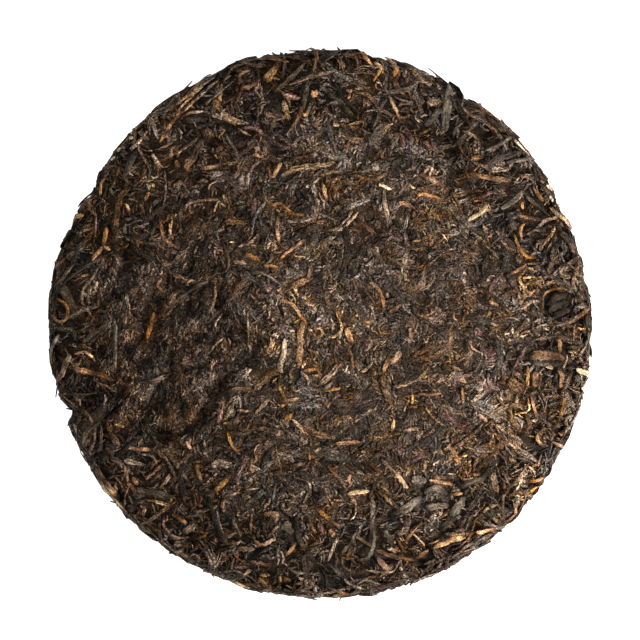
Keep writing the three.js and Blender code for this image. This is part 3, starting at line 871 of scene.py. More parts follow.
shownShape = dict(
    seed=71, stations=14, around=10, wide=0.95, clear=0.3,
    liftPressed=0.35, liftLoose=0.9, liftWall=0.36, wallBand=(0.86, 0.98),
    liftStocky=0.2, bluntStocky=0.25, stockyBand=(0.25, 0.6),  # short wide flakes lie flat, with broken ends
    thick=(0.35, 0.08), ridge=(0.05, 0.07),                    # mm, and mm more for each mm of width
    pitch=0.01, curl=0.1, wave=(0.02, 0.12), waves=(2, 6), tilt=0.2, twist=0.7, cup=0.08,
    fullness=(2, 5), blunt=(0.25, 0.6), ragged=(0.06, 0.22), blotch=(0.08, 0.26),
)
shownGold = (
    (2.0, 0.25, (399, 71), (395, 83), (406, 98)), (2.2, 0.36, (419, 175), (432, 180), (445, 188)),
    (2.6, 0.36, (303, 322), (300, 336), (300, 349), (298, 368)),
    (1.2, 0.45, (300, 371), (308, 379), (307, 387)),
    (1.4, 0.4, (281, 299), (293, 305), (299, 314), (307, 324)),
    (1.8, 0.45, (391, 350), (387, 361), (383, 372)), (2.5, 0.28, (401, 351), (396, 357), (390, 364)),
    (1.4, 0.3, (514, 234), (517, 245), (525, 256), (536, 258)),
    (1.2, 0.5, (526, 269), (519, 278), (522, 286), (529, 293), (535, 290)),
    (1.0, 0.75, (522, 278), (531, 277)), (1.8, 0.5, (532, 188), (542, 202)),
    (2.5, 0.4, (557, 371), (562, 377), (559, 387)), (1.8, 0.2, (315, 507), (331, 521), (340, 526)),
    (1.8, 0.14, (355, 535), (370, 545)), (2.0, 0.08, (375, 549), (391, 555), (414, 560)),
    (1.6, 0.2, (416, 558), (428, 549)), (2.2, 0.55, (433, 547), (454, 539), (465, 537)),
    (1.8, 0.58, (475, 532), (494, 527)), (2.5, 0.4, (264, 514), (279, 514)),
    (1.5, 0.36, (296, 542), (291, 549), (285, 556)),
    (1.3, 0.35, (58, 298), (68, 306), (68, 318), (60, 322), (52, 313)),
    (1.7, 0.7, (74, 224), (78, 218), (85, 216)), (1.5, 0.3, (71, 243), (75, 243)),
    (2.0, 0.25, (107, 227), (104, 246)), (1.6, 0.25, (104, 246), (92, 260)),
    (1.4, 0.5, (104, 246), (110, 250)), (1.3, 0.32, (160, 218), (163, 237), (179, 249)),
    (2.0, 0.3, (154, 312), (151, 325), (146, 339)), (1.2, 0.25, (161, 278), (157, 285), (164, 292)),
    (1.0, 0.45, (248, 343), (249, 354)), (1.5, 0.3, (160, 144), (170, 126), (182, 110)),
    (1.2, 0.12, (289, 53), (301, 53), (317, 57)), (1.1, 0.4, (250, 72), (240, 75), (241, 84)),
    (1.5, 0.22, (240, 90), (250, 87), (259, 82)), (2.9, 0.66, (311, 94), (317, 94)),
    (1.5, 0.75, (303, 114), (307, 116)), (1.5, 0.4, (300, 125), (305, 127)),
    (1.5, 0.7, (333, 125), (339, 125)), (1.3, 0.5, (346, 91), (352, 91)), (1.6, 0.5, (253, 154), (261, 156)),
    (1.5, 0.3, (196, 164), (208, 168), (221, 164)), (1.8, 0.45, (267, 167), (272, 177), (281, 163)),
    (1.8, 0.45, (322, 182), (324, 190), (327, 199)), (1.6, 0.65, (360, 53), (366, 60), (372, 68)),
    (1.4, 0.6, (374, 63), (381, 69), (373, 82)), (2.2, 0.5, (385, 59), (395, 69), (393, 78)),
    (1.4, 0.4, (389, 97), (395, 110), (401, 122)),
    (1.5, 0.2, (352, 174), (363, 178), (375, 179), (387, 173)), (1.9, 0.4, (471, 159), (483, 157)),
    (2.2, 0.3, (470, 174), (490, 178), (510, 181)), (1.2, 0.1, (464, 168), (469, 179)),
    (1.5, 0.8, (512, 141), (520, 148), (528, 157)), (1.6, 0.2, (278, 212), (277, 226), (279, 244)),
    (1.4, 0.3, (262, 196), (272, 205), (280, 203), (292, 213), (303, 215)),
    (2.2, 0.2, (202, 227), (216, 221)), (1.6, 0.28, (233, 261), (246, 263)),
    (2.0, 0.2, (245, 253), (260, 261)), (1.0, 0.2, (223, 242), (229, 261), (225, 272)),
    (1.2, 0.35, (280, 260), (285, 254), (304, 240)), (1.4, 0.02, (263, 265), (279, 267)),
    (1.4, 0.2, (215, 284), (215, 298), (208, 314)), (1.2, 0.42, (310, 268), (308, 278)),
    (1.2, 0.05, (300, 305), (314, 296)), (1.2, 0.45, (294, 284), (297, 293)),
    (1.9, 0.5, (399, 202), (413, 208)), (1.3, 0.55, (416, 199), (421, 194), (439, 198)),
    (1.8, 0.25, (411, 222), (426, 217)), (1.4, 0.25, (368, 281), (379, 290), (383, 301), (383, 312)),
    (1.5, 0.3, (362, 321), (370, 322)), (0.9, 0.3, (379, 317), (378, 327), (380, 335)),
    (1.2, 0.18, (349, 316), (357, 321)), (1.6, 0.35, (388, 312), (394, 309), (401, 304)),
    (1.8, 0.02, (323, 298), (338, 313), (352, 327)), (1.2, 0.42, (522, 201), (522, 209)),
    (1.1, 0.2, (542, 310), (543, 296), (551, 290), (565, 288)),
    (1.4, 0.35, (510, 274), (518, 270), (527, 264)), (1.1, 0.4, (488, 301), (498, 306)),
    (1.5, 0.1, (526, 320), (519, 328), (514, 339)), (1.3, 0.4, (75, 354), (86, 352), (95, 362)),
    (2.2, 0.2, (72, 367), (82, 371), (97, 374), (113, 381)), (1.8, 0.3, (128, 447), (140, 449), (151, 449)),
    (1.1, 0.55, (115, 424), (124, 427)),
    (1.2, 0.3, (313, 329), (320, 328), (322, 334), (316, 337), (312, 332)),
    (1.3, 0.25, (302, 371), (316, 369), (319, 375), (312, 375)),
    (1.5, 0.15, (227, 391), (240, 388), (252, 389)), (1.5, 0.45, (255, 414), (262, 406), (270, 398)),
    (1.3, 0.4, (278, 385), (283, 394), (287, 400), (299, 398)), (1.1, 0.42, (237, 410), (249, 411)),
    (1.1, 0.3, (223, 424), (231, 422)), (2.2, 0.42, (285, 420), (292, 414)),
    (1.3, 0.35, (227, 430), (231, 443), (237, 450), (246, 447)), (1.5, 0.5, (292, 419), (309, 435)),
    (1.3, 0.55, (186, 441), (191, 449)), (1.2, 0.4, (204, 452), (208, 457)),
    (1.2, 0.15, (258, 446), (256, 460)), (1.5, 0.4, (310, 444), (315, 444)),
    (1.5, 0.35, (410, 328), (409, 343)), (2.5, 0.4, (346, 328), (352, 343)),
    (1.2, 0.55, (324, 391), (340, 388)), (1.3, 0.33, (418, 394), (433, 394), (441, 393)),
    (1.1, 0.75, (412, 394), (412, 404)), (1.5, 0.2, (403, 430), (421, 428)),
    (1.7, 0.3, (335, 443), (360, 442)), (1.2, 0.3, (462, 387), (463, 404)),
    (1.5, 0.4, (559, 338), (558, 353)), (4.2, 0.2, (529, 356), (544, 355), (563, 358)),
    (1.5, 0.7, (538, 362), (552, 369)), (3.2, 0.35, (536, 372), (534, 387)),
    (1.5, 0.48, (527, 366), (527, 387)), (1.5, 0.4, (530, 393), (533, 406), (537, 419)),
    (1.1, 0.45, (542, 397), (559, 394)), (1.5, 0.4, (542, 428), (536, 438), (544, 447)),
    (1.3, 0.4, (550, 440), (563, 447)), (1.1, 0.25, (495, 393), (504, 407)),
    (1.5, 0.65, (478, 414), (487, 421)), (1.5, 0.5, (125, 465), (128, 482)),
    (1.9, 0.7, (100, 479), (114, 496), (128, 511)), (1.5, 0.3, (172, 514), (187, 523)),
    (1.6, 0.2, (175, 551), (184, 550)), (1.8, 0.25, (196, 464), (201, 481)),
    (2.2, 0.25, (215, 491), (224, 482), (230, 474)), (1.5, 0.2, (225, 498), (222, 508)),
    (1.1, 0.1, (234, 512), (234, 521), (241, 536)), (1.5, 0.3, (268, 536), (278, 525)),
    (1.1, 0.4, (231, 578), (251, 569)), (2.0, 0.4, (254, 539), (262, 544), (275, 538)),
    (1.6, 0.45, (429, 480), (441, 482), (453, 484)), (1.4, 0.45, (450, 494), (462, 493)),
    (2.4, 0.3, (377, 557), (387, 568), (393, 563)), (1.8, 0.25, (352, 545), (347, 556)),
    (1.1, 0.2, (403, 544), (412, 532), (422, 521)), (1.6, 0.1, (326, 585), (352, 594)),
    (1.4, 0.42, (472, 474), (480, 474)), (1.3, 0.35, (529, 462), (522, 472), (514, 483)),
    (1.5, 0.42, (527, 481), (543, 476)), (1.7, 0.88, (528, 491), (537, 485)),
    (1.2, 0.35, (512, 501), (514, 512), (505, 521)), (1.3, 0.4, (492, 517), (497, 521)),
    (1.8, 0.28, (133, 477), (138, 484)), (1.8, 0.15, (127, 483), (134, 489), (135, 495)),
    (2.4, 0.15, (229, 541), (236, 544)), (2.0, 0.02, (223, 551), (227, 559)),
    (1.1, 0.15, (250, 467), (253, 473)), (0.9, 0.5, (309, 453), (310, 460)),
    (2.0, 0.35, (330, 529), (333, 536)), (0.9, 0.22, (280, 575), (281, 582)),
    (1.6, 0.15, (284, 578), (291, 580)), (2.0, 0.15, (332, 595), (340, 595)),
    (1.6, 0.15, (433, 477), (446, 477)), (1.4, 0.5, (101, 197), (103, 184), (107, 179)),
    (1.3, 0.15, (147, 169), (141, 179), (134, 187)), (2.0, 0.35, (176, 161), (180, 168)),
    (1.4, 0.2, (169, 181), (170, 187)), (1.2, 0.55, (152, 184), (155, 187)),
    (1.4, 0.4, (223, 195), (226, 201)),
)
shownPale = (
    (1.8, 0.3, (384, 189), (385, 205), (389, 225)), (1.3, 0.9, (379, 184), (391, 190)),
    (1.8, 0.6, (467, 221), (480, 213), (487, 206)), (3.0, 0.55, (483, 208), (490, 208)),
    (2.2, 0.5, (285, 339), (284, 353), (280, 366), (282, 372)),
    (1.8, 0.65, (396, 473), (401, 480), (407, 488)), (2.0, 0.65, (347, 494), (356, 492), (369, 491)),
    (2.2, 0.7, (575, 369), (587, 374)), (0.9, 0.3, (237, 128), (251, 136)),
    (1.8, 0.8, (545, 186), (551, 190)), (1.6, 0.7, (548, 197), (552, 202)),
    (1.2, 0.8, (557, 204), (559, 208)), (1.3, 0.9, (580, 387), (583, 391)),
    (0.9, 0.1, (247, 316), (249, 330), (248, 345)), (1.4, 0.9, (130, 140), (134, 138)),
    (1.3, 0.7, (118, 152), (122, 149)), (1.3, 0.7, (112, 161), (116, 158)),
    (1.0, 0.55, (463, 279), (465, 283)),
)
shownBrown = (
    (1.4, 0.75, (175, 108), (194, 91), (211, 75)), (1.4, 1.0, (178, 112), (196, 94), (215, 78)),
    (1.4, 0.65, (181, 115), (199, 98), (217, 82)), (1.2, 0.9, (186, 100), (205, 84)),
    (1.4, 0.9, (126, 294), (130, 316)), (1.8, 0.5, (263, 81), (278, 64)), (2.2, 0.6, (283, 101), (289, 121)),
    (3.2, 0.6, (427, 102), (440, 102)), (2.5, 0.65, (282, 176), (295, 169), (315, 166), (334, 163)),
    (1.3, 0.75, (421, 163), (432, 169), (428, 177)), (2.5, 0.5, (225, 222), (249, 222)),
    (1.3, 0.6, (238, 247), (251, 242), (259, 234)), (2.2, 0.65, (548, 208), (560, 218), (576, 228)),
    (1.4, 0.7, (556, 218), (546, 220), (536, 228)), (1.4, 0.9, (554, 227), (551, 235), (541, 247)),
    (2.6, 0.7, (71, 355), (63, 374), (58, 382)), (2.5, 0.3, (141, 382), (155, 380), (169, 375)),
    (3.0, 0.45, (254, 389), (265, 379), (276, 368)), (2.9, 0.45, (302, 426), (318, 434), (335, 438)),
    (3.5, 0.3, (258, 428), (270, 431), (283, 435)), (3.2, 0.55, (211, 465), (220, 463), (231, 465)),
    (3.5, 0.35, (381, 376), (391, 404)), (1.0, 0.6, (424, 406), (435, 419), (448, 428)),
    (1.8, 0.45, (571, 371), (563, 391), (563, 406), (556, 425)),
    (4.5, 0.45, (508, 381), (516, 386), (522, 392)), (2.9, 0.45, (98, 466), (109, 485), (121, 498)),
    (1.5, 0.5, (146, 479), (161, 465)), (1.5, 0.25, (149, 483), (164, 469)),
    (2.2, 0.5, (239, 548), (254, 549)), (1.5, 0.5, (165, 514), (164, 525), (174, 536), (190, 536)),
    (1.9, 0.45, (379, 490), (389, 500), (399, 508)),
    (1.2, 0.4, (190, 557), (195, 553), (200, 557), (197, 564), (191, 562)),
    (1.6, 0.55, (381, 459), (395, 473)), (1.6, 0.4, (327, 466), (338, 477), (346, 489)),
    (1.3, 0.8, (338, 536), (333, 548), (328, 560)), (2.4, 0.58, (492, 472), (492, 489)),
    (2.0, 0.5, (493, 473), (497, 493)), (1.6, 0.5, (508, 495), (522, 492), (532, 496)),
    (1.3, 0.4, (386, 242), (392, 237), (400, 241)), (1.2, 0.45, (452, 447), (470, 436), (486, 420)),
    (1.7, 0.5, (353, 91), (369, 97), (380, 110), (393, 116)),
    (1.6, 0.4, (323, 107), (334, 119), (346, 127), (360, 127)), (2.8, 0.5, (267, 83), (273, 71), (279, 64)),
    (1.6, 0.75, (519, 176), (529, 179), (533, 187)), (1.6, 0.45, (515, 215), (529, 218), (541, 220)),
    (1.4, 0.4, (525, 235), (534, 230), (545, 231)), (1.6, 0.5, (461, 130), (474, 137), (483, 143)),
    (2.5, 0.2, (559, 232), (569, 243), (575, 256)), (2.4, 0.3, (501, 297), (517, 290)),
    (1.2, 0.75, (336, 311), (342, 328), (335, 336), (325, 337)), (1.2, 0.6, (293, 288), (299, 297)),
    (1.0, 0.6, (527, 264), (538, 264)), (0.8, 0.65, (209, 352), (216, 344), (223, 338)),
    (0.8, 0.7, (222, 313), (216, 322), (216, 331)), (0.9, 0.55, (270, 299), (269, 317)),
    (1.0, 0.6, (142, 454), (152, 456), (157, 463)), (1.6, 0.5, (157, 490), (166, 481), (170, 474)),
    (1.4, 0.6, (145, 499), (156, 501), (167, 505), (169, 510)),
    (1.2, 0.55, (141, 505), (145, 508), (144, 515)), (3.0, 0.45, (185, 532), (192, 526), (197, 522)),
    (3.4, 0.35, (174, 543), (183, 543), (192, 543)), (0.9, 0.6, (217, 510), (220, 522), (224, 533)),
    (1.8, 0.45, (443, 533), (455, 534), (474, 532)), (1.8, 0.3, (289, 466), (297, 465), (306, 463)),
    (2.4, 0.4, (382, 449), (387, 447), (392, 443)), (1.0, 0.6, (307, 480), (310, 488), (303, 504)),
    (1.0, 0.4, (294, 477), (304, 480), (307, 484)), (1.3, 0.5, (289, 493), (297, 496), (305, 490)),
    (0.9, 0.8, (351, 499), (355, 502), (355, 515), (350, 520)),
    (1.5, 0.5, (306, 515), (311, 524), (316, 533)),
    (1.0, 0.55, (400, 560), (392, 571), (376, 571), (359, 569)),
    (1.0, 0.3, (341, 564), (348, 569), (357, 571)), (1.3, 0.55, (344, 578), (351, 584), (365, 588)),
    (2.0, 0.35, (258, 577), (265, 583), (272, 587)), (1.8, 0.3, (249, 560), (262, 563), (275, 564)),
    (2.3, 0.4, (168, 306), (173, 295), (181, 287)), (1.0, 0.45, (242, 490), (259, 488)),
    (2.9, 0.3, (131, 187), (119, 203), (116, 222), (116, 239)),
    (1.0, 0.4, (126, 199), (136, 200), (142, 206), (145, 212)),
    (1.2, 0.55, (138, 145), (142, 154), (148, 165)), (1.6, 0.85, (153, 154), (158, 163), (163, 168)),
    (1.0, 0.5, (165, 171), (166, 188), (164, 205)),
    (1.1, 0.8, (180, 118), (190, 114), (205, 112), (215, 116)), (2.2, 0.6, (140, 133), (148, 141)),
    (1.8, 0.45, (135, 145), (137, 137), (135, 130)), (1.0, 0.65, (159, 150), (169, 145), (177, 138)),
    (3.2, 0.4, (185, 169), (194, 156), (203, 140)), (1.2, 0.65, (176, 155), (187, 147), (199, 138)),
    (2.2, 0.45, (174, 188), (182, 181)), (1.4, 0.8, (145, 201), (150, 191)),
    (1.3, 0.8, (169, 237), (170, 228), (173, 220)), (0.9, 0.7, (214, 212), (218, 201)),
    (0.9, 0.55, (81, 232), (95, 227)),
)
shownGrey = (
    (1.5, 0.1, (78, 207), (87, 198), (97, 188)), (4.0, 0.0, (61, 247), (66, 240), (72, 232)),
    (2.4, 0.3, (137, 152), (130, 164), (124, 177)), (1.1, 0.3, (65, 282), (90, 263), (113, 251)),
    (3.8, 0.55, (63, 286), (69, 299), (76, 313)), (3.7, 0.6, (449, 86), (446, 108), (444, 132)),
    (2.2, 0.4, (320, 85), (338, 102), (356, 119)), (2.5, 0.4, (441, 108), (425, 126)),
    (1.6, 0.5, (483, 152), (498, 146), (512, 138)), (1.6, 0.6, (506, 163), (521, 161), (537, 158)),
    (1.1, 0.5, (248, 271), (263, 273), (285, 287)),
    (2.2, 0.8, (501, 209), (511, 203), (519, 196), (522, 190)),
    (3.4, 0.15, (546, 304), (556, 297), (566, 295)), (3.4, 0.1, (548, 311), (557, 305), (568, 302)),
    (3.0, 0.15, (553, 317), (561, 313), (569, 309)), (2.8, 0.3, (507, 274), (514, 287)),
    (1.8, 0.7, (116, 324), (115, 349), (115, 368)), (1.7, 0.85, (61, 334), (53, 352), (53, 364)),
    (3.4, 0.55, (389, 517), (406, 508), (421, 496)), (3.1, 0.6, (425, 507), (437, 506), (448, 505)),
    (3.9, 0.5, (450, 515), (457, 507), (464, 497)), (3.0, 0.5, (424, 492), (436, 488), (446, 494)),
    (3.4, 0.8, (412, 479), (419, 480), (425, 481)),
    (2.8, 0.3, (454, 481), (460, 486), (470, 482), (483, 477), (489, 466)),
    (2.6, 0.15, (439, 530), (445, 524), (455, 517)), (2.6, 0.3, (531, 362), (546, 364), (562, 363)),
    (2.9, 0.35, (137, 489), (155, 493), (174, 497)), (2.4, 0.2, (295, 517), (299, 539), (314, 561)),
    (4.5, 0.4, (283, 522), (292, 533)), (1.6, 0.5, (373, 527), (374, 541), (368, 557), (357, 559)),
    (1.8, 0.3, (359, 525), (352, 540), (339, 556)), (2.5, 0.3, (384, 529), (393, 546)),
    (4.0, 0.0, (584, 318), (589, 322)), (0.9, 0.5, (179, 121), (186, 132)),
    (2.3, 0.2, (182, 121), (199, 120), (208, 119)), (1.8, 0.1, (334, 83), (344, 99), (359, 115)),
    (2.0, 0.45, (270, 97), (291, 78), (305, 64)), (2.0, 0.4, (507, 212), (511, 222), (515, 230)),
    (1.6, 0.4, (525, 196), (535, 204), (542, 211)),
    (3.0, 0.1, (208, 497), (213, 515), (219, 528), (226, 543)),
    (1.3, 0.5, (287, 566), (296, 572), (310, 572)), (1.5, 0.4, (327, 563), (333, 567), (340, 574)),
    (1.6, 0.35, (176, 299), (195, 287), (213, 277), (219, 266)),
)
shownRed = (
    (1.7, 0.5, (242, 65), (254, 67), (266, 68)), (2.2, 0.85, (284, 96), (300, 99)),
    (1.6, 0.45, (357, 221), (374, 232), (386, 234), (398, 236)), (1.1, 0.4, (451, 192), (462, 212)),
    (3.0, 0.6, (474, 329), (483, 335)), (1.3, 0.7, (458, 447), (463, 442)),
    (1.5, 0.4, (527, 344), (512, 370)), (1.8, 0.55, (243, 128), (256, 129), (264, 136)),
    (1.8, 0.3, (262, 133), (279, 146), (291, 148)), (0.9, 0.45, (96, 209), (96, 232), (94, 245)),
)


# An even curve through photo pixels, as chart places
def curveThrough(pixels, stations):
    x, y = fromPhoto(pixels).T
    points = np.stack(chartFromPlace(x, y), -1)
    ends = np.concatenate([[2 * points[0] - points[1]], points, [2 * points[-1] - points[-2]]])
    share = np.linspace(0, 1, 12, endpoint=False)[:, None]
    fine = []
    for a, b, c, d in zip(ends, ends[1:], ends[2:], ends[3:]):
        fine.append(0.5 * (2 * b + (c - a) * share + (2 * a - 5 * b + 4 * c - d) * share ** 2
                           + (3 * b - a - 3 * c + d) * share ** 3))
    fine = np.concatenate(fine + [points[-1:]])
    along = np.concatenate([[0], np.cumsum(np.hypot(*np.diff(fine, axis=0).T))])
    even = np.linspace(0, along[-1], stations)
    return np.interp(even, along, fine[:, 0]), np.interp(even, along, fine[:, 1]), along[-1]


# Where the leaves of the photograph lie, so that no other leaf covers them: cells of a square, in mm
takenCell = 0.4
takenHalf = 135.0
taken = np.zeros((int(2 * takenHalf / takenCell), int(2 * takenHalf / takenCell)), bool)


def cellOf(place):
    return ((place + takenHalf) / takenCell).astype(int)


def takeRoom(u, v, width):
    reach = width / 2 + shownShape["clear"]
    steps = np.arange(-math.ceil(reach / takenCell), math.ceil(reach / takenCell) + 1)
    for du in steps:
        for dv in steps:
            if math.hypot(du, dv) * takenCell <= reach:
                taken[cellOf(u) + du, cellOf(v) + dv] = True


def isTaken(u, v):
    return taken[cellOf(u), cellOf(v)]


for pixels, halfWide, _ in cracks:
    crackU, crackV, _ = curveThrough(pixels, 60)
    takeRoom(crackU, crackV, 2 * halfWide)


def makeShown(name, shown, look):
    shape = shownShape
    rng = np.random.default_rng(shape["seed"] + len(shown))
    count = len(shown)
    routes = [curveThrough(pixels, shape["stations"]) for _, _, *pixels in shown]
    u, v = np.stack([route[0] for route in routes]), np.stack([route[1] for route in routes])
    width, tone = np.array([entry[0] for entry in shown]), np.array([entry[1] for entry in shown])
    stations = np.arange(shape["stations"])
    dense = np.linspace(0, shape["stations"] - 1, 80)
    for i in range(count):
        takeRoom(np.interp(dense, stations, u[i]), np.interp(dense, stations, v[i]), width[i])
    length = np.array([route[2] for route in routes])
    stocky = smoothstep(width / length, *shape["stockyBand"])
    loose = looseAt(u.mean(1), v.mean(1))
    onWall = smoothstep(np.hypot(u.mean(1), v.mean(1)) / halfRim, *shape["wallBand"])
    lift = shape["liftPressed"] + (shape["liftLoose"] - shape["liftPressed"]) * loose
    lift = lift + shape["liftWall"] * onWall - shape["liftStocky"] * stocky

    def spread(key):
        return rng.normal(0, 1, count) * shape[key]

    def between(key):
        return rng.uniform(*shape[key], count)

    def byWidth(key):
        least, more = shape[key]
        return least + more * width

    leaves = dict(
        length=length, width=width * shape["wide"], thick=byWidth("thick"), lift=lift, pitch=spread("pitch"),
        curl=spread("curl"), wave=between("wave"), waves=between("waves"), tilt=spread("tilt"),
        twist=spread("twist"), fullness=between("fullness"),
        blunt=between("blunt") + shape["bluntStocky"] * stocky, ragged=between("ragged"),
        ridge=byWidth("ridge"), cup=spread("cup"), tone=tone, blotch=between("blotch"),
    )
    dress(layLeaves(name, leaves, u, v, shape["around"], False, rng), leafMaterial(name + "Finish", look))


for name, shown, look in (
    ("shownGold", shownGold, goldLook), ("shownPale", shownPale, paleLook),
    ("shownBrown", shownBrown, brownLook), ("shownGrey", shownGrey, greyLook),
    ("shownRed", shownRed, redLook),
):
    makeShown(name, shown, look)


# Scattered leaves, one dictionary for each kind: sizes in mm, angles in radians, each as a range or a swing.
# A ring is a range of reach along the skin, 1 at the outermost line, and tones are the two numbers of a
# beta spread.

def makeKind(name, kind, look):
    rng = np.random.default_rng(kind["seed"])
    leaves = drawLeaves(kind, rng)
    u, v = wander(leaves, kind["stations"], rng)
    fromBack = kind.get("fromBack", False)
    if not fromBack:
        # Leaves that would cover a shown leaf are left out: the middle and both edges are looked at
        aside = 0.4 * leaves["width"]
        asideU = (-aside * np.sin(leaves["heading"]))[:, None]
        asideV = (aside * np.cos(leaves["heading"]))[:, None]
        covered = [isTaken(u + line * asideU, v + line * asideV).mean(1) for line in (-1, 0, 1)]
        free = np.mean(covered, axis=0) < kind["overlap"]
        u, v = u[free], v[free]
        leaves = {key: values[free] for key, values in leaves.items()}
    dress(layLeaves(name, leaves, u, v, kind["around"], fromBack, rng), leafMaterial(name + "Finish", look))


wideLeaves = dict(
    seed=51, count=400, stations=8, around=14, ring=(0.1, 1.06), together=1, overlap=0.06, stray=0.8,
    blotch=0.12, length=(9, 28), width=(2.4, 6.5), thick=(0.35, 0.7), skew=1.7, bend=0.5, sway=0.15, low=0.0,
    rise=(0.22, 0.85), pitch=0.035, curl=0.35, wave=(0.05, 0.35), tilt=0.22, twist=0.4, blunt=(0.15, 0.55),
    ragged=(0.03, 0.14), ridge=(0.06, 0.3), cup=0.10, tones=(3.0, 3.6),
    keep=lambda u, v, loose: (0.35 + 0.65 * loose) * (1 - patchShare(u, v)),
)
darkShreds = dict(
    seed=52, count=1950, stations=6, around=8, ring=(0.0, 1.12), together=2, overlap=0.15, stray=0.8,
    blotch=0.14, length=(4, 20), width=(1.0, 3.0), thick=(0.35, 0.8), skew=1.3, bend=1.0, sway=0.4, low=0.05,
    rise=(0.15, 1.0), pitch=0.05, curl=0.4, wave=(0.0, 0.25), tilt=0.4, twist=1.2, blunt=(0.2, 0.6),
    ragged=(0.1, 0.4), ridge=(0.05, 0.25), cup=0.06, tones=(4.4, 5.0),
    keep=lambda u, v, loose: (0.6 + 0.4 * loose) * (1 - 0.95 * patchShare(u, v)),
)
brownShreds = dict(
    darkShreds, seed=53, count=1500, length=(4, 18), width=(0.8, 2.6), tones=(4.2, 5.6),
    keep=lambda u, v, loose: (0.65 + 0.35 * loose) * (1 - 0.85 * patchShare(u, v)),
)
rimCurls = dict(
    seed=61, count=240, stations=10, around=8, ring=(0.8, 1.05), together=2, overlap=0.04, stray=0.9,
    blotch=0.14, length=(8, 24), width=(1.3, 2.8), thick=(0.8, 1.5), skew=1.3, bend=1.8, sway=0.7, low=0.45,
    rise=(0.2, 0.9), pitch=0.03, curl=0.5, wave=(0.05, 0.3), tilt=0.4, twist=1.4, blunt=(0.3, 0.7),
    ragged=(0.05, 0.2), ridge=(0.05, 0.2), cup=0.05, tones=(4.0, 4.0),
    keep=lambda u, v, loose: loose,
)
brownCurls = dict(rimCurls, seed=63, count=130, width=(1.0, 2.2), tones=(3.6, 5.4))
rimTips = dict(
    seed=62, count=260, stations=5, around=6, ring=(0.93, 1.03), together=1, overlap=0.02, stray=1.2,
    blotch=0.14, length=(3, 9), width=(0.7, 2.0), thick=(0.4, 0.9), skew=1.4, bend=0.8, sway=0.3, low=0.6,
    rise=(0.3, 0.6), pitch=0.16, curl=0.5, wave=(0.0, 0.2), tilt=0.5, twist=1.0, blunt=(0.2, 0.6),
    ragged=(0.1, 0.3), ridge=(0.04, 0.15), cup=0.05, tones=(3.0, 3.4),
    keep=lambda u, v, loose: 1 + 0 * u,
)
redShreds = dict(brownShreds, seed=54, count=230, length=(4, 13))
fineDark = dict(
    seed=55, count=4700, stations=4, around=4, ring=(0.0, 1.08), together=2, overlap=0.8, stray=1.0,
    blotch=0.12, length=(1.6, 6), width=(0.5, 2.0), thick=(0.15, 0.35), skew=1.3, bend=1.2, sway=0.4,
    low=0.1, rise=(0.15, 0.6), pitch=0.05, curl=0.2, wave=(0.0, 0.1), tilt=0.35, twist=0.8, blunt=(0.3, 0.8),
    ragged=(0.15, 0.45), ridge=(0.02, 0.14), cup=0.0, tones=(4.2, 5.0),
    keep=lambda u, v, loose: (1 - 0.5 * loose) * (1 - 0.9 * patchShare(u, v)),
)
fineBrown = dict(fineDark, seed=56, count=3800, tones=(4.0, 5.6))
goldenTips = dict(
    seed=57, count=360, stations=6, around=6, ring=(0.0, 1.06), together=1, overlap=0.1, stray=1.0,
    blotch=0.3, length=(2.0, 8), width=(0.5, 1.4), thick=(0.3, 0.6), skew=1.6, bend=1.0, sway=0.35, low=0.25,
    rise=(0.2, 0.75), pitch=0.04, curl=0.3, wave=(0.0, 0.2), tilt=0.35, twist=0.8, blunt=(0.15, 0.5),
    ragged=(0.1, 0.3), ridge=(0.02, 0.1), cup=0.05, tones=(2.2, 5.2),
    keep=lambda u, v, loose: (0.6 + 0.4 * loose) * (1 - 0.8 * patchShare(u, v)),
)
paleStems = dict(goldenTips, seed=58, count=34, width=(0.5, 1.2), bend=0.5, tones=(2.0, 4.0))
crumbs = dict(
    fineDark, seed=60, count=1900, around=6, tries=40, together=1, overlap=0.3, length=(1.2, 4.5),
    width=(0.5, 1.6), thick=(0.3, 0.7), skew=1.2, low=0.0, rise=(0.3, 0.3), pitch=0.08, tilt=0.5,
    tones=(3.6, 4.6),
    keep=lambda u, v, loose: patchShare(u, v),
)
backShreds = dict(
    seed=59, count=2000, stations=5, around=4, ring=(0.0, 0.99), together=2, fromBack=True, stray=0.8,
    blotch=0.12, length=(4, 18), width=(0.9, 3.0), thick=(0.3, 0.6), skew=1.6, bend=0.9, sway=0.3, low=-0.05,
    rise=(0.25, 0.35), pitch=0.008, curl=0.05, wave=(0.0, 0.08), tilt=0.08, twist=0.2, blunt=(0.2, 0.6),
    ragged=(0.04, 0.18), ridge=(0.0, 0.06), cup=0.02, tones=(3.6, 4.6),
    keep=lambda u, v, loose: 1 + 0 * u,
)
backBrown = dict(backShreds, seed=64, count=1150, width=(0.8, 2.4))
backTips = dict(backShreds, seed=65, count=170, length=(3, 10), width=(0.6, 1.6), low=0.05, tones=(2.2, 5.2))

for name, kind, look in (
    ("wideLeaves", wideLeaves, darkLook), ("darkShreds", darkShreds, darkLook),
    ("brownShreds", brownShreds, brownLook), ("redShreds", redShreds, redLook),
    ("rimCurls", rimCurls, darkLook), ("brownCurls", brownCurls, brownLook), ("rimTips", rimTips, darkLook),
    ("fineDark", fineDark, darkLook), ("fineBrown", fineBrown, brownLook), ("crumbs", crumbs, crumbLook),
    ("goldenTips", goldenTips, goldLook), ("paleStems", paleStems, paleLook),
    ("backShreds", backShreds, darkLook), ("backBrown", backBrown, brownLook),
    ("backTips", backTips, goldLook),
):
    makeKind(name, kind, look)


# Floor, light and camera

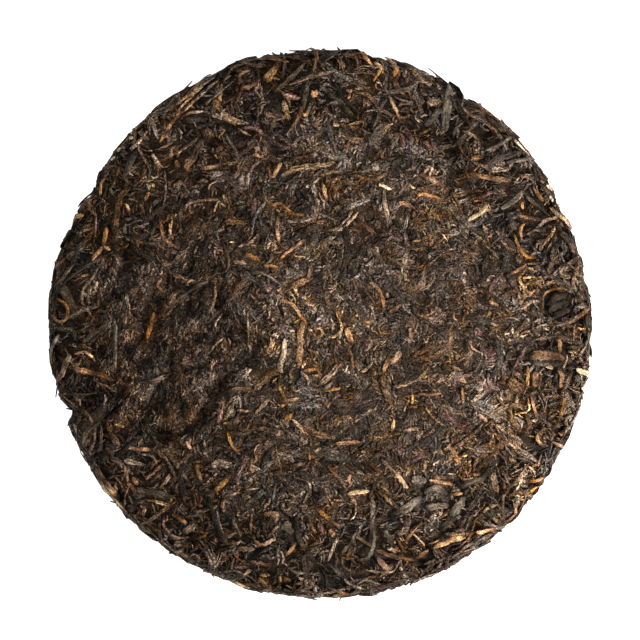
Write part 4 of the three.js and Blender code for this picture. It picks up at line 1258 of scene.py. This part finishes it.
paleFloor = dict(side=6.0, colour=(190, 190, 190), rough=0.9, glow=0.95)
lights = (
    # name, place in metres, width in metres, watts, colour
    ("keySoftbox", (0.60, -0.28, 0.42), 0.30, 14.8, (1.0, 0.98, 0.95)),
    ("topSoftbox", (-0.05, 0.08, 1.20), 0.40, 9.0, (0.98, 0.99, 1.0)),
)
roomLight = dict(colour=(0.96, 0.98, 1.0, 1.0), strength=0.10)
cameraParts = dict(sensorWidth=36.0, clip=(0.05, 10.0))  # mm, and metres


def makeStage():
    bpy.ops.mesh.primitive_plane_add(size=paleFloor["side"])
    floor = bpy.context.object
    floor.name = "floor"
    material, _, shader, _ = newMaterial("paleFloor")
    shader.inputs["Base Color"].default_value = linear(*paleFloor["colour"])
    shader.inputs["Roughness"].default_value = paleFloor["rough"]
    shader.inputs["Emission Color"].default_value = (1, 1, 1, 1)
    shader.inputs["Emission Strength"].default_value = paleFloor["glow"]
    floor.data.materials.append(material)
    for name, place, width, watts, colour in lights:
        lamp = bpy.data.lights.new(name, "AREA")
        lamp.shape = "DISK"
        lamp.size = width
        lamp.energy = watts
        lamp.color = colour
        holder = bpy.data.objects.new(name, lamp)
        holder.location = place
        holder.rotation_mode = "QUATERNION"
        holder.rotation_quaternion = (-Vector(place)).to_track_quat("-Z", "Y")
        bpy.context.collection.objects.link(holder)
    world = bpy.data.worlds.new("studio")
    world.use_nodes = True
    background = world.node_tree.nodes["Background"]
    background.inputs["Color"].default_value = roomLight["colour"]
    background.inputs["Strength"].default_value = roomLight["strength"]
    bpy.context.scene.world = world
    bpy.context.scene.view_settings.view_transform = "Standard"
    bpy.context.scene.view_settings.look = "None"


def makeCamera():
    view = photoView
    camera = bpy.data.cameras.new("camera")
    camera.sensor_width = cameraParts["sensorWidth"]
    seenWidth = view["mmPerPixel"] * view["imageWidth"]
    camera.lens = camera.sensor_width * (view["cameraHeight"] - view["rimHeight"]) / seenWidth
    camera.clip_start, camera.clip_end = cameraParts["clip"]
    holder = bpy.data.objects.new("camera", camera)
    aheadX = (view["imageWidth"] / 2 - view["middle"][0]) * view["mmPerPixel"]
    aheadY = (view["middle"][1] - view["imageWidth"] / 2) * view["mmPerPixel"]
    holder.location = Vector((aheadX, aheadY, view["cameraHeight"])) * metresPerMm
    bpy.context.collection.objects.link(holder)
    bpy.context.scene.camera = holder


makeStage()
makeCamera()
print("stage, lights and camera made")
